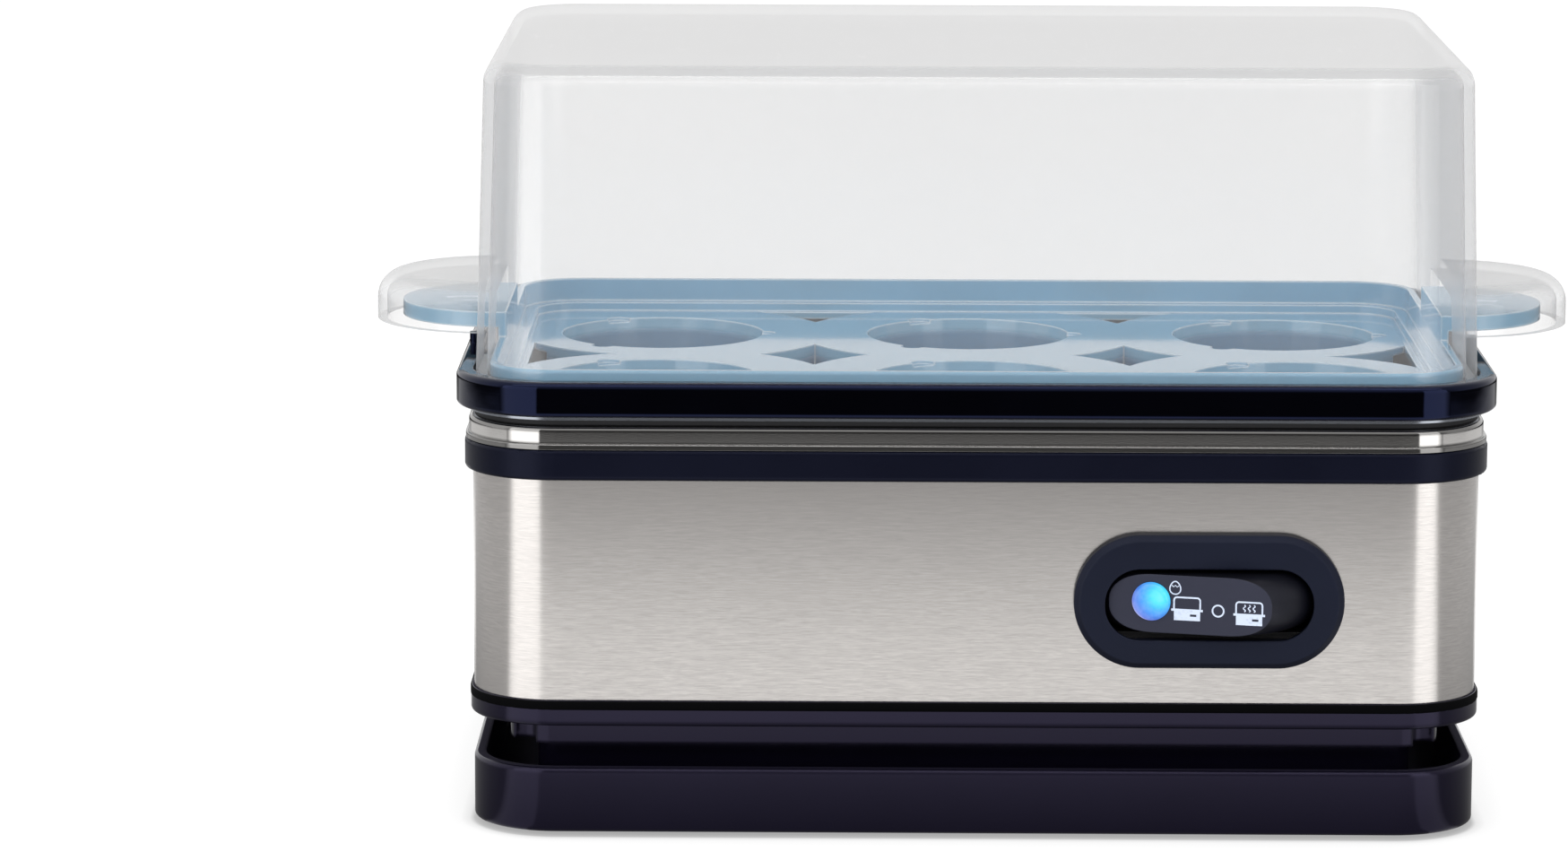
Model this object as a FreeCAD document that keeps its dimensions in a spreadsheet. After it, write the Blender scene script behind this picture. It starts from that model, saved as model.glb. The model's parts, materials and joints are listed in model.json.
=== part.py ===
import FreeCAD
import Part
import math
import os
import Sketcher

# Electric cooker for six eggs. Millimetres. +Z is up, the switch faces -Y, and the origin is at
# the centre of the footprint on the table. Every outline is an offset of the top rim's outline.

os.makedirs("parts", exist_ok=True)
doc = FreeCAD.newDocument("egg_cooker")

TOUCH = 0.05
TRACE = 0.005
X_AXIS = FreeCAD.Vector(1, 0, 0)
Y_AXIS = FreeCAD.Vector(0, 1, 0)
Z_AXIS = FreeCAD.Vector(0, 0, 1)
SIDES = (-1, 1)
X_SIDES = ((-1, "left"), (1, "right"))
Y_SIDES = ((-1, "front"), (1, "back"))
CORNERS = ((-1, -1), (1, -1), (1, 1), (-1, 1))

SHEET = {
    # master outline: the top rim
    "rim_half_x": 97.0,
    "rim_half_y": 66.5,
    "rim_corner": 19.0,
    # levels, from the table up
    "plinth_low": 0.8,
    "plinth_floor": 2.8,
    "plinth_top": 13.0,
    "neck_step": 16.2,
    "deck_low": 21.1,
    "deck_top": 23.1,
    "flange_top": 25.9,
    "shell_top": 67.5,
    "band_top": 73.3,
    "collar_top": 77.7,
    "seal_top": 78.8,
    "rim_low": 79.5,
    "rim_top": 86.0,
    # insets from the rim's outline
    "plinth_in": 3.0,
    "neck_in": 9.8,
    "core_in": 15.0,
    "flange_in": 2.4,
    "shell_in": 3.0,
    "band_in": 1.5,
    "collar_in": 2.3,
    "collar_lip_in": 1.7,
    "seal_in": 3.4,
    "pan_flange_in": 2.1,
    "bore_in": 8.2,
    "frame_inner_in": 7.4,
    # walls
    "plinth_wall": 2.2,
    "housing_wall": 2.0,
    "shell_wall": 0.8,
    "pan_wall": 0.7,
    "lid_wall": 2.0,
    "tray_wall": 1.6,
    # top rim
    "lid_ledge_in": 3.1,
    "lid_ledge_top": 84.0,
    "tray_ledge_in": 5.9,
    "tray_ledge_top": 81.1,
    "post_radius": 0.8,
    "post_top": 88.2,
    "post_in": 1.5,
    "post_half_gap": 18.0,
    # collar and band
    "collar_lip": 1.1,
    "lug_radius": 5.0,
    "lug_thick": 3.0,
    "pillar_radius": 4.0,
    "pillar_x": 84.4,
    "pillar_y": 53.9,
    # screws
    "screw_radius": 1.5,
    "screw_head_radius": 3.0,
    "screw_head": 2.4,
    "base_screw_x": 70.0,
    "base_screw_y": 40.0,
    "base_boss_radius": 4.0,
    # feet
    "foot_radius": 6.0,
    "foot_height": 1.4,
    "foot_x": 82.0,
    "foot_y": 51.5,
    # rating-label pad under the floor
    "label_low": 0.4,
    "label_half_x": 30.0,
    "label_half_y": 16.0,
    # cord outlet
    "gland_x": -30.0,
    "gland_z": 9.5,
    "gland_bore": 3.1,
    "gland_half": 4.2,
    "gland_lip": 1.6,
    "gland_lip_thick": 2.0,
    "cord_notch_half": 4.3,
    # deck cable slot
    "slot_x": -52.0,
    "slot_y": 22.0,
    "slot_length": 26.0,
    "slot_width": 16.0,
    # water pan
    "pan_floor": 64.0,
    "pan_top_in": 8.5,
    "pan_foot_in": 17.5,
    "pan_top_corner": 10.5,
    "pan_foot_corner": 9.0,
    # heating parts
    "plate_half_x": 60.0,
    "plate_half_y": 32.0,
    "plate_corner": 14.0,
    "plate_thick": 3.0,
    "coil_radius": 18.0,
    "coil_tube": 3.2,
    "coil_left": -34.0,
    "coil_right": 44.0,
    "pin_radius": 1.6,
    "pin_length": 9.0,
    "clamp_half": 24.0,
    "clamp_width": 7.0,
    "clamp_thick": 1.2,
    "thermostat_radius": 8.0,
    "thermostat_height": 7.5,
    "tab_pitch": 9.6,
    "fuse_radius": 2.2,
    "fuse_length": 13.0,
    "fuse_x": 12.0,
    "fuse_y": -9.8,
    "earth_x": -22.1,
    # terminal block, board and what is on it
    "block_x": -52.0,
    "block_y": 0.0,
    "block_length": 26.0,
    "block_width": 13.0,
    "block_height": 12.0,
    "well_pitch": 7.8,
    "well_depth": 4.0,
    "board_left": -14.0,
    "board_front": -22.0,
    "board_length": 62.0,
    "board_width": 46.0,
    "board_low": 29.1,
    "board_thick": 1.6,
    "board_inset": 5.0,
    "standoff_radius": 2.5,
    "buzzer_x": 34.0,
    "buzzer_y": 12.0,
    "buzzer_radius": 6.0,
    "buzzer_height": 7.0,
    "buzzer_floor": 2.9,
    "resistor_x": -6.0,
    "resistor_y": 8.0,
    "resistor_length": 18.0,
    "resistor_width": 7.0,
    "resistor_height": 8.0,
    "capacitor_x": 10.0,
    "capacitor_y": -12.0,
    "capacitor_radius": 4.0,
    "capacitor_height": 10.0,
    "lead_radius": 1.1,
    # switch
    "switch_x": 43.0,
    "switch_z": 45.4,
    "bezel_half_x": 25.0,
    "bezel_half_z": 12.5,
    "bezel_proud": 2.7,
    "bezel_lip": 1.2,
    "bezel_bevel": 1.1,
    "mouth_half_x": 19.3,
    "mouth_half_z": 6.7,
    "mouth_drop": 0.4,
    "flat": 0.15,
    "cell_half_x": 22.2,
    "cell_half_z": 6.1,
    "cell_corner": 1.5,
    "case_wall": 3.0,
    "case_back": 2.0,
    "case_depth": 19.2,
    "terminal_width": 6.3,
    "terminal_thick": 0.8,
    "terminal_length": 9.0,
    "terminal_pitch": 13.0,
    # rocker, in its own frame with the pivot at the origin
    "pivot_depth": 53.4,
    "rocker_face": 15.3,
    "rocker_radius": 21.6,
    "rocker_half_z": 5.45,
    "rocker_rim": 4.9,
    "rocker_back": 2.0,
    "rocker_hub": 5.0,
    "rocker_rest": 14.0,
    "rocker_bore": 1.25,
    "rocker_pin": 1.2,
    "lens_at": -7.3,
    "lens_up": 0.4,
    "lens_radius": 3.6,
    "lens_depth": 2.6,
    "lens_dome": 1.1,
    "lamp_radius": 2.4,
    "lamp_pocket": 8.6,
    # egg tray
    "tray_floor": 81.2,
    "tray_thick": 1.4,
    "tray_flange_low": 81.4,
    "tray_flange_top": 82.9,
    "tray_top": 87.4,
    "tray_in": 6.2,
    "tray_well_in": 8.7,
    "hole_pitch": 60.7,
    "hole_row": 27.1,
    "hole_radius": 20.0,
    "collar_low_radius": 19.94,
    "collar_drop": 8.0,
    "collar_slope": 12.0,
    "notch_radius": 2.3,
    "web_arc": 33.5,
    "end_arc": 28.3,
    "vent_edge": 11.5,
    "vent_drop": 4.0,
    "skirt_wall": 1.2,
    "skirt_half_y": 18.0,
    "skirt_reach": 83.0,
    "end_vent_x": 64.0,
    "end_vent_y": 16.0,
    "centre_vent_x": 46.0,
    "handle_radius": 19.6,
    "handle_x": 90.7,
    "handle_low": 89.2,
    "handle_top": 92.2,
    "handle_wall": 1.6,
    # lid
    "lid_low": 84.3,
    "lid_top": 143.7,
    "lid_in": 3.6,
    "lid_draft": 1.8,
    "lid_slope": 1.736,
    "lid_edge": 4.0,
    "lid_inner_edge": 2.2,
    "ear_x": 92.2,
    "ear_radius": 23.0,
    "ear_low": 88.5,
    "ear_top": 97.8,
    "ear_wall": 1.8,
    "ear_edge": 5.2,
    # edge treatments
    "soft_edge": 0.8,
    "fine_edge": 0.4,
    "rim_edge": 1.2,
    "tray_edge": 0.6,
    "lens_edge": 1.05,
}

NOTCH_ANGLES = (0, 118, 236)

# Each lead's route from end to end, chosen so that it clears the board, the screws and the others.
LEAD_ROUTES = {
    "lead_live": [
        (-31.5, 46.6, 9.2), (-37, 37, 9.5), (-51, 28, 13), (-59.8, 22, 25), (-59.8, 14, 37),
        (-59.8, 7, 44), (-59.8, 0, 42), (-59.8, 0, 31.3),
    ],
    "lead_neutral": [
        (-28.5, 46.6, 9.2), (-30, 36, 9.5), (-40, 27, 13), (-44.2, 22, 25), (-44.2, 14, 37),
        (-44.2, 7, 44), (-44.2, 0, 42), (-44.2, 0, 31.3),
    ],
    "lead_earth": [
        (-30, 46.6, 11.4), (-35, 37, 14), (-47, 28, 18), (-50, 23, 30), (-38, 12, 42),
        (-22.1, 0, 46), (-22.1, 0, 51.2),
    ],
    "lead_element_front": [
        (53.2, -18, 57.1), (60, -18.5, 56.5), (63, -22, 50), (56, -27, 45.6), (56, -34.4, 45.4),
    ],
    "lead_element_back": [
        (53.2, 18, 57.1), (60, 18, 56), (64, 26, 48), (56, 34, 42), (30, 38, 40),
        (-10, 38, 41), (-38, 26, 43), (-52, 8, 46), (-52, 0, 42), (-52, 0, 31.3),
    ],
    "lead_switch_feed": [
        (43, -34.4, 45.4), (43, -29, 45.2), (43, -21, 41), (42, -17, 36), (42, -17, 30.7),
    ],
    "lead_lamp": [
        (30, -34.4, 45.4), (30, -29, 45.2), (25, -20, 41), (24, -14, 36), (24, -14, 30.7),
    ],
    "lead_thermostat_left": [(-4.8, 0, 43.7), (-4.8, 0, 39.6), (-9, -6, 35), (-9, -6, 30.7)],
    "lead_thermostat_right": [(4.8, 0, 43.7), (4.8, 0, 39.6), (2, -6, 35), (2, -6, 30.7)],
}
RUN_SHARE = 0.45
LEAD_TOLERANCE = 0.01


# --- sizes -----------------------------------------------------------------------------------
class Size:
    """A length from the sheet: its number, and the expression that gives it."""

    def __init__(self, value, text):
        self.value = value
        self.text = text

    def __add__(self, other):
        return Size(self.value + other.value, f"({self.text} + {other.text})")

    def __sub__(self, other):
        return Size(self.value - other.value, f"({self.text} - {other.text})")

    def __mul__(self, factor):
        return Size(self.value * factor, f"({factor} * {self.text})")

    def __neg__(self):
        return self * -1


class Sizes:
    """The sheet's cells as attributes."""

    def __getattr__(self, alias):
        return Size(SHEET[alias], f"Dims.{alias}")


def make_sheet():
    sheet = doc.addObject("Spreadsheet::Sheet", "Dims")
    for row, (alias, value) in enumerate(SHEET.items(), start=1):
        sheet.set(f"A{row}", alias)
        sheet.set(f"B{row}", str(value))
        sheet.setAlias(f"B{row}", alias)
    doc.recompute()
    return sheet


dims_sheet = make_sheet()
dim = Sizes()
NIL = dim.rim_half_x * 0


def inset(amount):
    """Half-lengths and corner radius of the rim's outline, moved inwards."""
    return (dim.rim_half_x - amount, dim.rim_half_y - amount, dim.rim_corner - amount)


def bind(obj, **sizes):
    for name, amount in sizes.items():
        obj.setExpression(name, amount.text)


def place(obj, x=None, y=None, z=None):
    for axis, amount in (("x", x), ("y", y), ("z", z)):
        if amount is not None:
            obj.setExpression(f"Placement.Base.{axis}", amount.text)


# --- sketches and features -------------------------------------------------------------------
def new_body(label):
    body = doc.addObject("PartDesign::Body", label)
    body.Label = label
    return body


def sketch_on(body, name, role, depth):
    """A sketch on one of the body's own origin planes, moved along that plane's normal."""
    plane = next(p for p in body.Origin.OriginFeatures if p.Role == role)
    sketch = body.newObject("Sketcher::SketchObject", name)
    sketch.AttachmentSupport = [(plane, "")]
    sketch.MapMode = "FlatFace"
    sketch.setExpression("AttachmentOffset.Base.z", depth.text)
    return sketch


def level_sketch(body, name, height):
    return sketch_on(body, name, "XY_Plane", height)


def front_sketch(body, name, y_depth):
    """A sketch that looks along +Y, standing y_depth in front of the centre."""
    return sketch_on(body, name, "XZ_Plane", y_depth)


def datum(sketch, tag, constraint, amount):
    index = sketch.addConstraint(constraint)
    sketch.renameConstraint(index, tag)
    sketch.setExpression(f"Constraints.{tag}", amount.text)


def pin_point(sketch, tag, geo, point, x, y):
    """Hold a point at signed distances from the sketch's origin."""
    for axis, line, amount in (("X", -2, x), ("Y", -1, y)):
        if amount.value == 0:
            sketch.addConstraint(Sketcher.Constraint("PointOnObject", geo, point, line))
        elif amount.value > 0:
            rule = Sketcher.Constraint(f"Distance{axis}", -1, 1, geo, point, amount.value)
            datum(sketch, f"{tag}_{axis.lower()}", rule, amount)
        else:
            rule = Sketcher.Constraint(f"Distance{axis}", geo, point, -1, 1, -amount.value)
            datum(sketch, f"{tag}_{axis.lower()}", rule, -amount)


def rounded_rect(sketch, tag, half_x, half_y, corner, centre=None):
    """A rounded rectangle around centre (the origin if none is given)."""
    hx, hy, r = half_x.value, half_y.value, corner.value
    cx, cy = (0.0, 0.0) if centre is None else (centre[0].value, centre[1].value)
    first = sketch.GeometryCount
    ends = (
        ((-(hx - r), -hy), (hx - r, -hy)),
        ((hx, -(hy - r)), (hx, hy - r)),
        ((hx - r, hy), (-(hx - r), hy)),
        ((-hx, hy - r), (-hx, -(hy - r))),
    )
    arcs = ((hx - r, -(hy - r)), (hx - r, hy - r), (-(hx - r), hy - r), (-(hx - r), -(hy - r)))
    for k in range(4):
        (x0, y0), (x1, y1) = ends[k]
        start = FreeCAD.Vector(cx + x0, cy + y0, 0)
        stop = FreeCAD.Vector(cx + x1, cy + y1, 0)
        sketch.addGeometry(Part.LineSegment(start, stop))
        mid = FreeCAD.Vector(cx + arcs[k][0], cy + arcs[k][1], 0)
        low = math.radians(90 * (k - 1))
        ring = Part.Circle(mid, Z_AXIS, r)
        sketch.addGeometry(Part.ArcOfCircle(ring, low, low + math.pi / 2))
    for k in range(8):
        here, after = first + k, first + (k + 1) % 8
        sketch.addConstraint(Sketcher.Constraint("Tangent", here, 2, after, 1))
    for k in (0, 4):
        sketch.addConstraint(Sketcher.Constraint("Horizontal", first + k))
        sketch.addConstraint(Sketcher.Constraint("Vertical", first + k + 2))
    for k in (3, 5, 7):
        sketch.addConstraint(Sketcher.Constraint("Equal", first + 1, first + k))
    datum(sketch, f"{tag}_r", Sketcher.Constraint("Radius", first + 1, r), corner)
    wide = Sketcher.Constraint("DistanceX", first + 6, 1, first + 2, 1, 2 * hx)
    datum(sketch, f"{tag}_wide", wide, half_x * 2)
    tall = Sketcher.Constraint("DistanceY", first, 1, first + 4, 1, 2 * hy)
    datum(sketch, f"{tag}_tall", tall, half_y * 2)
    if centre is None:
        sketch.addConstraint(Sketcher.Constraint("Symmetric", first + 3, 3, first + 7, 3, -1, 1))
    else:
        x_arc = centre[0] + half_x - corner
        y_arc = centre[1] + half_y - corner
        pin_point(sketch, f"{tag}_at", first + 3, 3, x_arc, y_arc)


def circle(sketch, tag, x, y, radius):
    mid = FreeCAD.Vector(x.value, y.value, 0)
    geo = sketch.addGeometry(Part.Circle(mid, Z_AXIS, radius.value))
    datum(sketch, f"{tag}_r", Sketcher.Constraint("Radius", geo, radius.value), radius)
    pin_point(sketch, tag, geo, 3, x, y)


def half_disc(sketch, tag, side, x, radius):
    """A D with its straight edge at x and its arc on the outer side."""
    cx, r = side * x.value, radius.value
    mid = FreeCAD.Vector(cx, 0, 0)
    low = -math.pi / 2 if side > 0 else math.pi / 2
    arc = sketch.addGeometry(Part.ArcOfCircle(Part.Circle(mid, Z_AXIS, r), low, low + math.pi))
    start = FreeCAD.Vector(cx, side * r, 0)
    stop = FreeCAD.Vector(cx, -side * r, 0)
    edge = sketch.addGeometry(Part.LineSegment(start, stop))
    sketch.addConstraint(Sketcher.Constraint("Coincident", arc, 2, edge, 1))
    sketch.addConstraint(Sketcher.Constraint("Coincident", edge, 2, arc, 1))
    sketch.addConstraint(Sketcher.Constraint("Vertical", edge))
    sketch.addConstraint(Sketcher.Constraint("PointOnObject", arc, 3, edge))
    datum(sketch, f"{tag}_r", Sketcher.Constraint("Radius", arc, r), radius)
    pin_point(sketch, tag, arc, 3, x * side, NIL)


def require_change(body, before, grows, name):
    doc.recompute()
    after = body.Shape.Volume
    changed = after > before + TRACE if grows else after < before - TRACE
    if not changed:
        raise RuntimeError(f"{body.Label}: {name} changed nothing")


def volume_of(body):
    doc.recompute()
    return 0.0 if body.Shape.isNull() else body.Shape.Volume


def pad(body, sketch, length, taper=None):
    """Raise the sketch along its normal; a positive taper widens it on the way."""
    before = volume_of(body)
    feature = body.newObject("PartDesign::Pad", f"{sketch.Name}_pad")
    feature.Profile = sketch
    bind(feature, Length=length)
    if taper is not None:
        bind(feature, TaperAngle=taper)
    sketch.Visibility = False
    require_change(body, before, True, feature.Name)
    return feature


def pocket(body, sketch, length, taper=None):
    """Cut from the sketch against its normal; a positive taper widens the cut on the way."""
    before = volume_of(body)
    feature = body.newObject("PartDesign::Pocket", f"{sketch.Name}_cut")
    feature.Profile = sketch
    bind(feature, Length=length)
    if taper is not None:
        bind(feature, TaperAngle=taper)
    sketch.Visibility = False
    require_change(body, before, False, feature.Name)
    return feature


def plate(body, name, outline, low, top):
    sketch = level_sketch(body, name, low)
    rounded_rect(sketch, "o", *outline)
    return pad(body, sketch, top - low)


def ring(body, name, outer, inner, low, top):
    sketch = level_sketch(body, name, low)
    rounded_rect(sketch, "o", *outer)
    rounded_rect(sketch, "i", *inner)
    return pad(body, sketch, top - low)


def loft(body, name, low_outline, low, top_outline, top, cuts=False):
    before = volume_of(body)
    first = level_sketch(body, f"{name}_low", low)
    rounded_rect(first, "o", *low_outline)
    second = level_sketch(body, f"{name}_top", top)
    rounded_rect(second, "o", *top_outline)
    kind = "PartDesign::SubtractiveLoft" if cuts else "PartDesign::AdditiveLoft"
    feature = body.newObject(kind, name)
    feature.Profile = first
    feature.Sections = [second]
    first.Visibility = False
    second.Visibility = False
    require_change(body, before, not cuts, name)
    return feature


def circles_at(body, name, level, points, radius):
    sketch = level_sketch(body, name, level)
    for k, (x, y) in enumerate(points):
        circle(sketch, f"c{k}", x, y, radius)
    return sketch


def corner_points(x, y):
    return [(x * sx, y * sy) for sx, sy in CORNERS]


def outline_gap(point, amount):
    """How far a point lies from the rim's outline moved inwards by amount."""
    hx, hy, r = (value.value for value in inset(amount))
    qx = abs(point.x) - (hx - r)
    qy = abs(point.y) - (hy - r)
    outside = math.hypot(max(qx, 0), max(qy, 0))
    return abs(outside + min(max(qx, qy), 0) - r)


def edges_on(shape, test):
    names = []
    for k, edge in enumerate(shape.Edges, start=1):
        middle = edge.valueAt((edge.FirstParameter + edge.LastParameter) / 2)
        ends = [vertex.Point for vertex in edge.Vertexes] + [middle]
        if all(test(point) for point in ends):
            names.append(f"Edge{k}")
    return names


def dress(body, kind, test, amount, prop):
    """Fillet or chamfer every edge whose ends and middle pass the test."""
    before = volume_of(body)
    base = body.Tip
    names = edges_on(base.Shape, test)
    if not names:
        raise RuntimeError(f"{body.Label}: no edge to dress")
    feature = body.newObject(f"PartDesign::{kind}", f"{body.Label}_{kind}")
    feature.Base = (base, names)
    feature.setExpression(prop, amount.text)
    doc.recompute()
    if abs(body.Shape.Volume - before) < TRACE:
        raise RuntimeError(f"{body.Label}: {kind} changed nothing")
    return feature


def round_outline(body, level, amount, radius):
    def test(point):
        on_level = abs(point.z - level.value) < TOUCH
        return on_level and outline_gap(point, amount) < TOUCH

    return dress(body, "Fillet", test, radius, "Radius")


# --- plain solids ----------------------------------------------------------------------------
def box(label, length, width, height, x, y, z):
    """A box whose low corner is at x, y, z."""
    solid = doc.addObject("Part::Box", label)
    solid.Label = label
    bind(solid, Length=length, Width=width, Height=height)
    place(solid, x, y, z)
    return solid


def centred_box(label, length, width, height, x, y, z):
    return box(label, length, width, height, x - length * 0.5, y - width * 0.5, z)


def cylinder(label, radius, height, x, y, z, axis=Z_AXIS):
    solid = doc.addObject("Part::Cylinder", label)
    solid.Label = label
    solid.Placement = FreeCAD.Placement(
        FreeCAD.Vector(x.value, y.value, z.value), FreeCAD.Rotation(Z_AXIS, axis)
    )
    bind(solid, Radius=radius, Height=height)
    place(solid, x, y, z)
    return solid


def fuse(label, *pieces):
    whole = doc.addObject("Part::MultiFuse", label)
    whole.Label = label
    whole.Shapes = list(pieces)
    whole.Refine = True
    return whole


def cut(label, base, tool):
    rest = doc.addObject("Part::Cut", label)
    rest.Label = label
    rest.Base = base
    rest.Tool = tool
    rest.Refine = True
    return rest


# --- base: plinth, feet and housing ----------------------------------------------------------
def make_plinth():
    body = new_body("plinth")
    outer = inset(dim.plinth_in)
    plate(body, "floor", outer, dim.plinth_low, dim.plinth_floor)
    inner = inset(dim.plinth_in + dim.plinth_wall)
    ring(body, "wall", outer, inner, dim.plinth_floor, dim.plinth_top)
    round_outline(body, dim.plinth_top, dim.plinth_in, dim.soft_edge)
    round_outline(body, dim.plinth_low, dim.plinth_in, dim.soft_edge)
    label = level_sketch(body, "label_pad", dim.label_low)
    rounded_rect(label, "l", dim.label_half_x, dim.label_half_y, dim.housing_wall)
    pad(body, label, dim.plinth_floor - dim.label_low)
    seats = circles_at(
        body,
        "foot_seats",
        dim.foot_height,
        corner_points(dim.foot_x, dim.foot_y),
        dim.foot_radius,
    )
    pocket(body, seats, dim.foot_height - dim.plinth_low)
    points = corner_points(dim.base_screw_x, dim.base_screw_y)
    holes = circles_at(body, "screw_holes", dim.plinth_floor, points, dim.screw_radius)
    pocket(body, holes, dim.plinth_floor - dim.plinth_low)
    notch = front_sketch(body, "cord_notch", moat_edge())
    height = dim.plinth_top - dim.plinth_floor
    middle = dim.gland_z - dim.cord_notch_half + height * 0.5
    rounded_rect(
        notch, "n", dim.cord_notch_half, height * 0.5, dim.soft_edge, (dim.gland_x, middle)
    )
    pocket(body, notch, dim.plinth_wall * 2)
    return body


def moat_edge():
    """Sketch depth of a plane just inside the plinth's back wall."""
    return dim.plinth_in + dim.plinth_wall + dim.soft_edge - dim.rim_half_y


def make_feet():
    made = []
    for k, (x, y) in enumerate(corner_points(dim.foot_x, dim.foot_y), start=1):
        made.append(cylinder(f"foot_{k}", dim.foot_radius, dim.foot_height, x, y, NIL))
    return made


def make_lower_housing():
    body = new_body("lower_housing")
    flange = inset(dim.flange_in)
    plate(body, "deck", flange, dim.deck_low, dim.deck_top)
    shell_inner = inset(dim.shell_in + dim.shell_wall + dim.housing_wall)
    ring(body, "flange", flange, shell_inner, dim.deck_top, dim.flange_top)
    round_outline(body, dim.flange_top, dim.flange_in, dim.fine_edge)
    round_outline(body, dim.deck_low, dim.flange_in, dim.soft_edge)
    neck = inset(dim.neck_in)
    core_inner = inset(dim.core_in + dim.housing_wall)
    ring(body, "neck", neck, core_inner, dim.neck_step, dim.deck_low)
    core = inset(dim.core_in)
    ring(body, "core", core, core_inner, dim.plinth_floor, dim.neck_step)
    pillars = corner_points(dim.pillar_x, dim.pillar_y)
    tall = dim.shell_top - dim.deck_top
    pad(body, circles_at(body, "pillars", dim.deck_top, pillars, dim.pillar_radius), tall)
    bosses = corner_points(dim.base_screw_x, dim.base_screw_y)
    drop = dim.deck_low - dim.plinth_floor
    radius = dim.base_boss_radius
    pad(body, circles_at(body, "bosses", dim.plinth_floor, bosses, radius), drop)
    posts = board_corners()
    rise = dim.board_low - dim.deck_top
    pad(body, circles_at(body, "standoffs", dim.deck_top, posts, dim.standoff_radius), rise)
    bores = circles_at(body, "pillar_bores", dim.shell_top, pillars, dim.screw_radius)
    pocket(body, bores, dim.shell_top - dim.deck_low)
    heads = circles_at(body, "head_seats", head_seat(), pillars, dim.screw_head_radius)
    pocket(body, heads, head_seat() - dim.neck_step)
    taps = circles_at(body, "boss_bores", base_tap(), bosses, dim.screw_radius)
    pocket(body, taps, base_tap() - dim.plinth_floor)
    slot = level_sketch(body, "cable_slot", dim.deck_top)
    half_x, half_y = dim.slot_length * 0.5, dim.slot_width * 0.5
    rounded_rect(slot, "s", half_x, half_y, dim.housing_wall, (dim.slot_x, dim.slot_y))
    pocket(body, slot, dim.deck_top - dim.deck_low)
    seat = front_sketch(body, "gland_seat", dim.core_in + dim.housing_wall - dim.rim_half_y)
    top = dim.gland_z + dim.gland_half
    low = dim.plinth_floor - dim.housing_wall
    centre = (dim.gland_x, (top + low) * 0.5)
    rounded_rect(seat, "g", dim.gland_half, (top - low) * 0.5, dim.flat, centre)
    pocket(body, seat, dim.housing_wall)
    return body


def head_seat():
    """Level of the face that a housing screw's head bears on."""
    return dim.deck_low + dim.screw_head


def base_tap():
    """Level where a base screw ends."""
    return dim.deck_low - dim.housing_wall * 2


def board_corners():
    low_x = dim.board_left + dim.board_inset
    low_y = dim.board_front + dim.board_inset
    high_x = dim.board_left + dim.board_length - dim.board_inset
    high_y = dim.board_front + dim.board_width - dim.board_inset
    return [(low_x, low_y), (high_x, low_y), (high_x, high_y), (low_x, high_y)]


def make_housing_screws():
    """Four long screws put in from below; their heads bear on the deck's counterbores."""
    pieces = []
    seat = head_seat()
    tip = dim.shell_top + dim.lug_thick
    for k, (x, y) in enumerate(corner_points(dim.pillar_x, dim.pillar_y), start=1):
        low = seat - dim.screw_head
        head = cylinder(f"long_head_{k}", dim.screw_head_radius, dim.screw_head, x, y, low)
        shank = cylinder(f"long_shank_{k}", dim.screw_radius, tip - seat, x, y, seat)
        pieces += [head, shank]
    return fuse("housing_screws", *pieces)


def make_base_screws():
    pieces = []
    low = dim.plinth_low
    for k, (x, y) in enumerate(corner_points(dim.base_screw_x, dim.base_screw_y), start=1):
        pieces.append(cylinder(f"short_{k}", dim.screw_radius, base_tap() - low, x, y, low))
    return fuse("base_screws", *pieces)


def make_cord_gland():
    outer_y = dim.rim_half_y - dim.core_in
    inner_y = outer_y - dim.housing_wall
    tall = dim.gland_z + dim.gland_half - dim.plinth_floor
    wide = dim.gland_half * 2
    stem = box(
        "gland_stem", wide, dim.housing_wall, tall, dim.gland_x - dim.gland_half, inner_y,
        dim.plinth_floor,
    )
    lips = []
    lip_wide = wide + dim.gland_lip * 2
    left = dim.gland_x - dim.gland_half - dim.gland_lip
    for name, at in (("out", outer_y), ("in", inner_y - dim.gland_lip_thick)):
        lips.append(
            box(
                f"gland_lip_{name}", lip_wide, dim.gland_lip_thick, tall + dim.gland_lip, left, at,
                dim.plinth_floor,
            )
        )
    solid = fuse("gland_solid", stem, *lips)
    deep = dim.housing_wall + dim.gland_lip_thick * 2
    bore = cylinder(
        "gland_hole", dim.gland_bore, deep, dim.gland_x, inner_y - dim.gland_lip_thick,
        dim.gland_z, Y_AXIS,
    )
    return cut("cord_gland", solid, bore)


# --- shell, band, collar, seal and rim -------------------------------------------------------
def make_steel_shell():
    body = new_body("steel_shell")
    outer = inset(dim.shell_in)
    inner = inset(dim.shell_in + dim.shell_wall)
    ring(body, "sheet", outer, inner, dim.flange_top, dim.shell_top)
    window = front_sketch(body, "window", front_wall() + dim.shell_wall)
    rounded_rect(
        window, "w", dim.cell_half_x, dim.mouth_half_z, dim.cell_corner, mouth_centre()
    )
    pocket(body, window, dim.shell_wall * 3)
    return body


def front_wall():
    """Distance of the steel front from the centre."""
    return dim.rim_half_y - dim.shell_in


def make_upper_band():
    body = new_body("upper_band")
    outer = inset(dim.band_in)
    inner = inset(dim.frame_inner_in)
    ring(body, "frame", outer, inner, dim.shell_top, dim.band_top)
    round_outline(body, dim.band_top, dim.band_in, dim.soft_edge)
    round_outline(body, dim.shell_top, dim.band_in, dim.soft_edge)
    points = corner_points(dim.pillar_x, dim.pillar_y)
    pad(body, circles_at(body, "lugs", dim.shell_top, points, dim.lug_radius), dim.lug_thick)
    top = dim.shell_top + dim.lug_thick
    bores = circles_at(body, "lug_bores", top, points, dim.screw_radius)
    pocket(body, bores, dim.lug_thick)
    return body


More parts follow.
